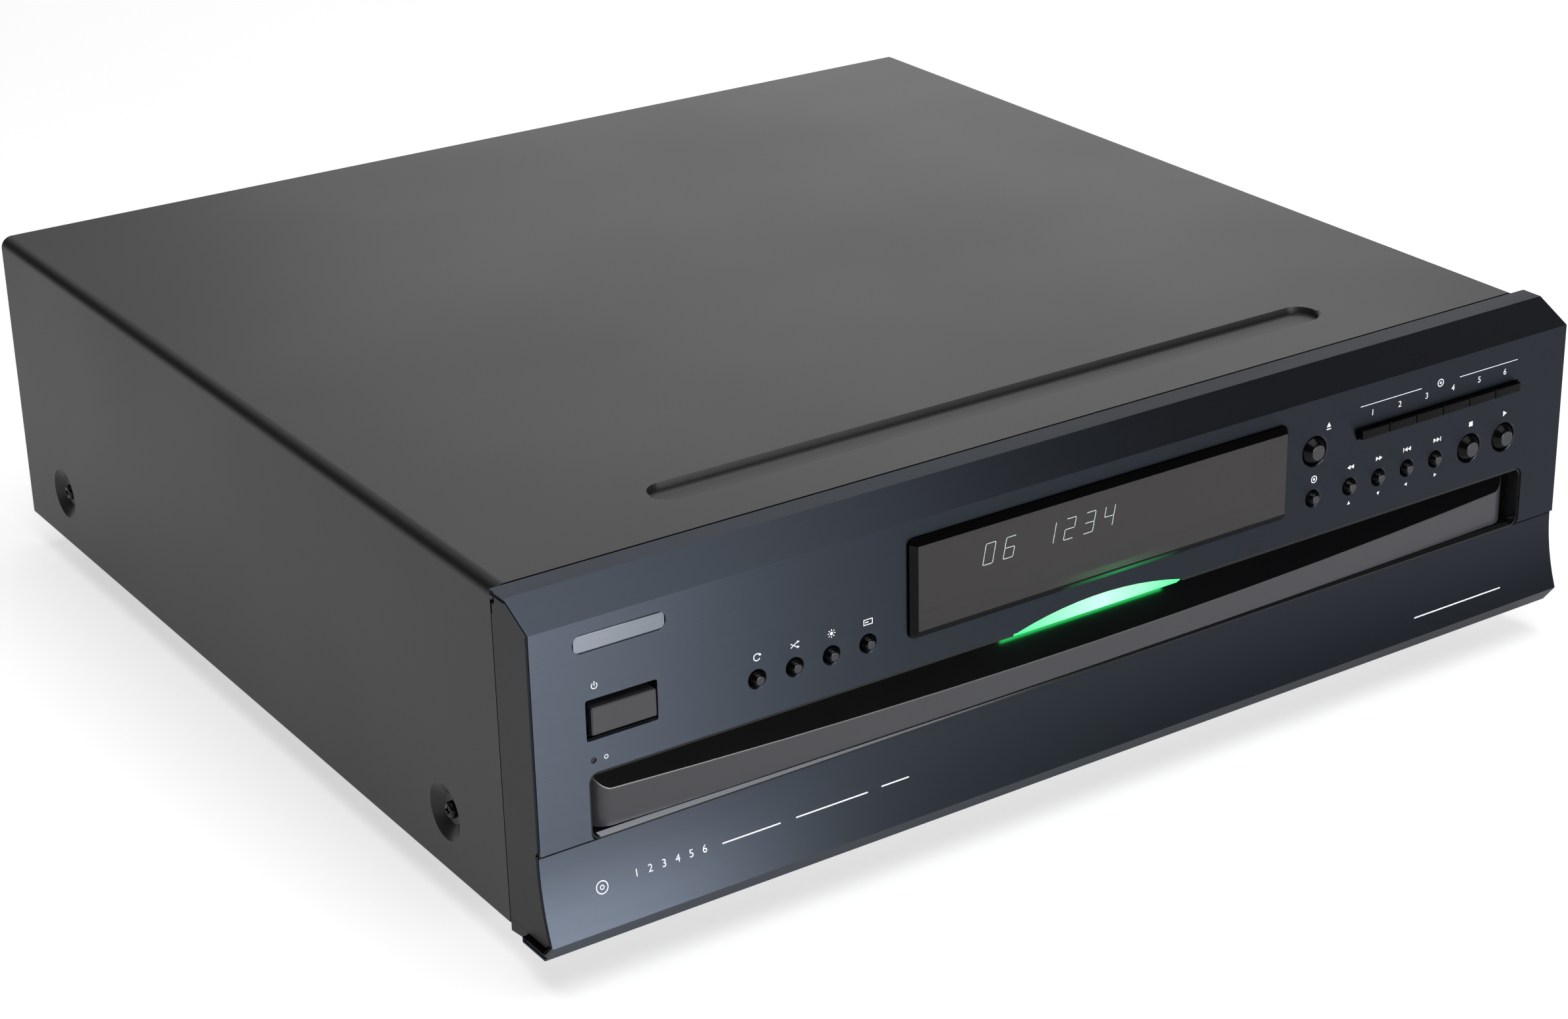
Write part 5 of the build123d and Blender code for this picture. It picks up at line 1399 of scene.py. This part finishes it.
@dataclass
class Studio:
    """Plain pale floor, soft lamps and the camera at the photograph's angle."""

    place_mm: tuple[float, float, float] = (-615.08, -962.08, 538.4)
    azimuth: float = 35.51
    elevation: float = 23.12
    roll: float = -0.41
    lens_mm: float = 73.22
    shift: Point = (-0.07866, -0.03069)
    floor_half: float = 12.0
    floor_tones: tuple[str, str] = ("#c7c7c8", "#cdcdce")
    floor_lift: float = 0.58
    mirrored_lift: float = 0.5
    least_room: float = 0.06
    lamps: tuple[Lamp, ...] = (
        Lamp("overhead", (0.0, -0.3, 2.2), (-0.1, 0.3, -2.2), (2.2, 2.2), 44.0),
        Lamp("front", (0.18, -2.0, 0.28), (-0.18, 1.8, -0.18), (1.1, 0.36), 45.0),
        Lamp("back", (1.25, 1.75, 0.5), (-1.25, -1.75, -0.4), (1.3, 0.4), 2.2),
        # The lit lens shines down on the tray door, through its lip
        Lamp("lens_light", (-0.0005, -0.2094, 0.0698), (0.0, 0.5, -1.0), (0.070, 0.003), 0.018, "#2ce56f"))

    def build(self) -> None:
        """Sets the view's colours, the floor, the world, the lamps and the camera."""
        bpy.context.scene.view_settings.view_transform = "Standard"
        self.floor()
        self.world()
        for lamp in self.lamps:
            lamp.hang()
        self.camera()

    def floor(self) -> None:
        """Lays a wide pale floor that keeps a faint shadow and is lifted to white where it is only seen."""
        half = self.floor_half
        mesh = bpy.data.meshes.new("studio_floor")
        mesh.from_pydata([(-half, -half, 0), (half, -half, 0), (half, half, 0), (-half, half, 0)], [],
                         [(0, 1, 2, 3)])
        floor = linked("studio_floor", mesh)
        made = bpy.data.materials.new("paper_sweep")
        graph = Graph.fresh(made)
        tone = graph.blend(graph.noise(graph.place(), 300.0), *self.floor_tones)
        paper = graph.add("ShaderNodeBsdfDiffuse", {"Color": tone})["BSDF"]
        lift = graph.add("ShaderNodeEmission", {"Color": WHITE, "Strength": self.floor_lift})["Emission"]
        path = graph.add("ShaderNodeLightPath")
        seen = graph.maths("MAXIMUM", path["Is Camera Ray"], path["Is Transmission Ray"])
        share = graph.maths("MAXIMUM", seen, graph.maths("MULTIPLY", path["Is Glossy Ray"], self.mirrored_lift))
        both = graph.add("ShaderNodeAddShader", {0: paper, 1: lift})["Shader"]
        graph.add("ShaderNodeOutputMaterial", {"Surface": graph.mix(share, paper, both)})
        mesh.materials.append(made)

    def world(self) -> None:
        """Gives the room: white to the camera, and elsewhere dim, with a brighter wall behind on the right."""
        world = bpy.data.worlds.new("studio_room")
        bpy.context.scene.world = world
        graph = Graph.fresh(world)
        ways = graph.add("ShaderNodeTexCoord")["Generated"]
        axes = graph.axes(ways)
        wall = graph.span(axes["X"], 0.0, 0.1, -0.3, 0.5, "SMOOTHSTEP")
        rise = graph.span(graph.vectors("DOT_PRODUCT", ways, (1.54, 0.0, 6.68))["Value"], 0.0, 1.4, 2.9, 3.2)
        crown = graph.span(axes["Z"], 1.0, 0.0, 0.45, 0.7, "SMOOTHSTEP")
        behind = graph.span(axes["Y"], 0.0, 1.0, 0.2, 0.5, "SMOOTHSTEP")
        level = graph.maths("MULTIPLY_ADD", graph.maths("MULTIPLY_ADD", rise, crown, wall), behind, self.least_room)
        room = graph.add("ShaderNodeBackground", {"Color": WHITE, "Strength": level})["Background"]
        white = graph.add("ShaderNodeBackground", {"Color": WHITE, "Strength": 1.0})["Background"]
        seen = graph.add("ShaderNodeLightPath")["Is Camera Ray"]
        graph.add("ShaderNodeOutputWorld", {"Surface": graph.mix(seen, room, white)})

    def camera(self) -> None:
        """Places the camera that was fitted to the photograph."""
        data = bpy.data.cameras.new("photo_camera")
        data.sensor_width = 36.0
        data.lens = self.lens_mm
        data.shift_x, data.shift_y = self.shift
        data.clip_start, data.clip_end = 0.01, 100.0
        camera = linked("photo_camera", data)
        a, e, r = (math.radians(v) for v in (self.azimuth, self.elevation, self.roll))
        forward = Vector((math.sin(a) * math.cos(e), math.cos(a) * math.cos(e), -math.sin(e)))
        right = Vector((math.cos(a), -math.sin(a), 0.0))
        up = right.cross(forward)
        across = right * math.cos(r) + up * math.sin(r)
        above = up * math.cos(r) - right * math.sin(r)
        turn = Matrix((across, above, -forward)).transposed()
        camera.matrix_world = Matrix.Translation(Vector(self.place_mm) * MM) @ turn.to_4x4()
        bpy.context.scene.camera = camera


def main() -> None:
    """Builds every sub-assembly in turn and reports each piece."""
    logging.basicConfig(level=logging.INFO, format="%(name)s: %(message)s")
    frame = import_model()
    bench = Bench(frame)
    for assembly in (Cabinet(bench), FrontPanel(bench), KeySet(bench), DisplayUnit(bench), DiscTray(bench),
                     Mechanism(bench), BackSockets(bench)):
        before = len(bench.made)
        assembly.build()
        for name in bench.made[before:]:
            LOG.info("%s: %s", type(assembly).__name__, name)
    Studio().build()


if __name__ == "__main__":
    main()
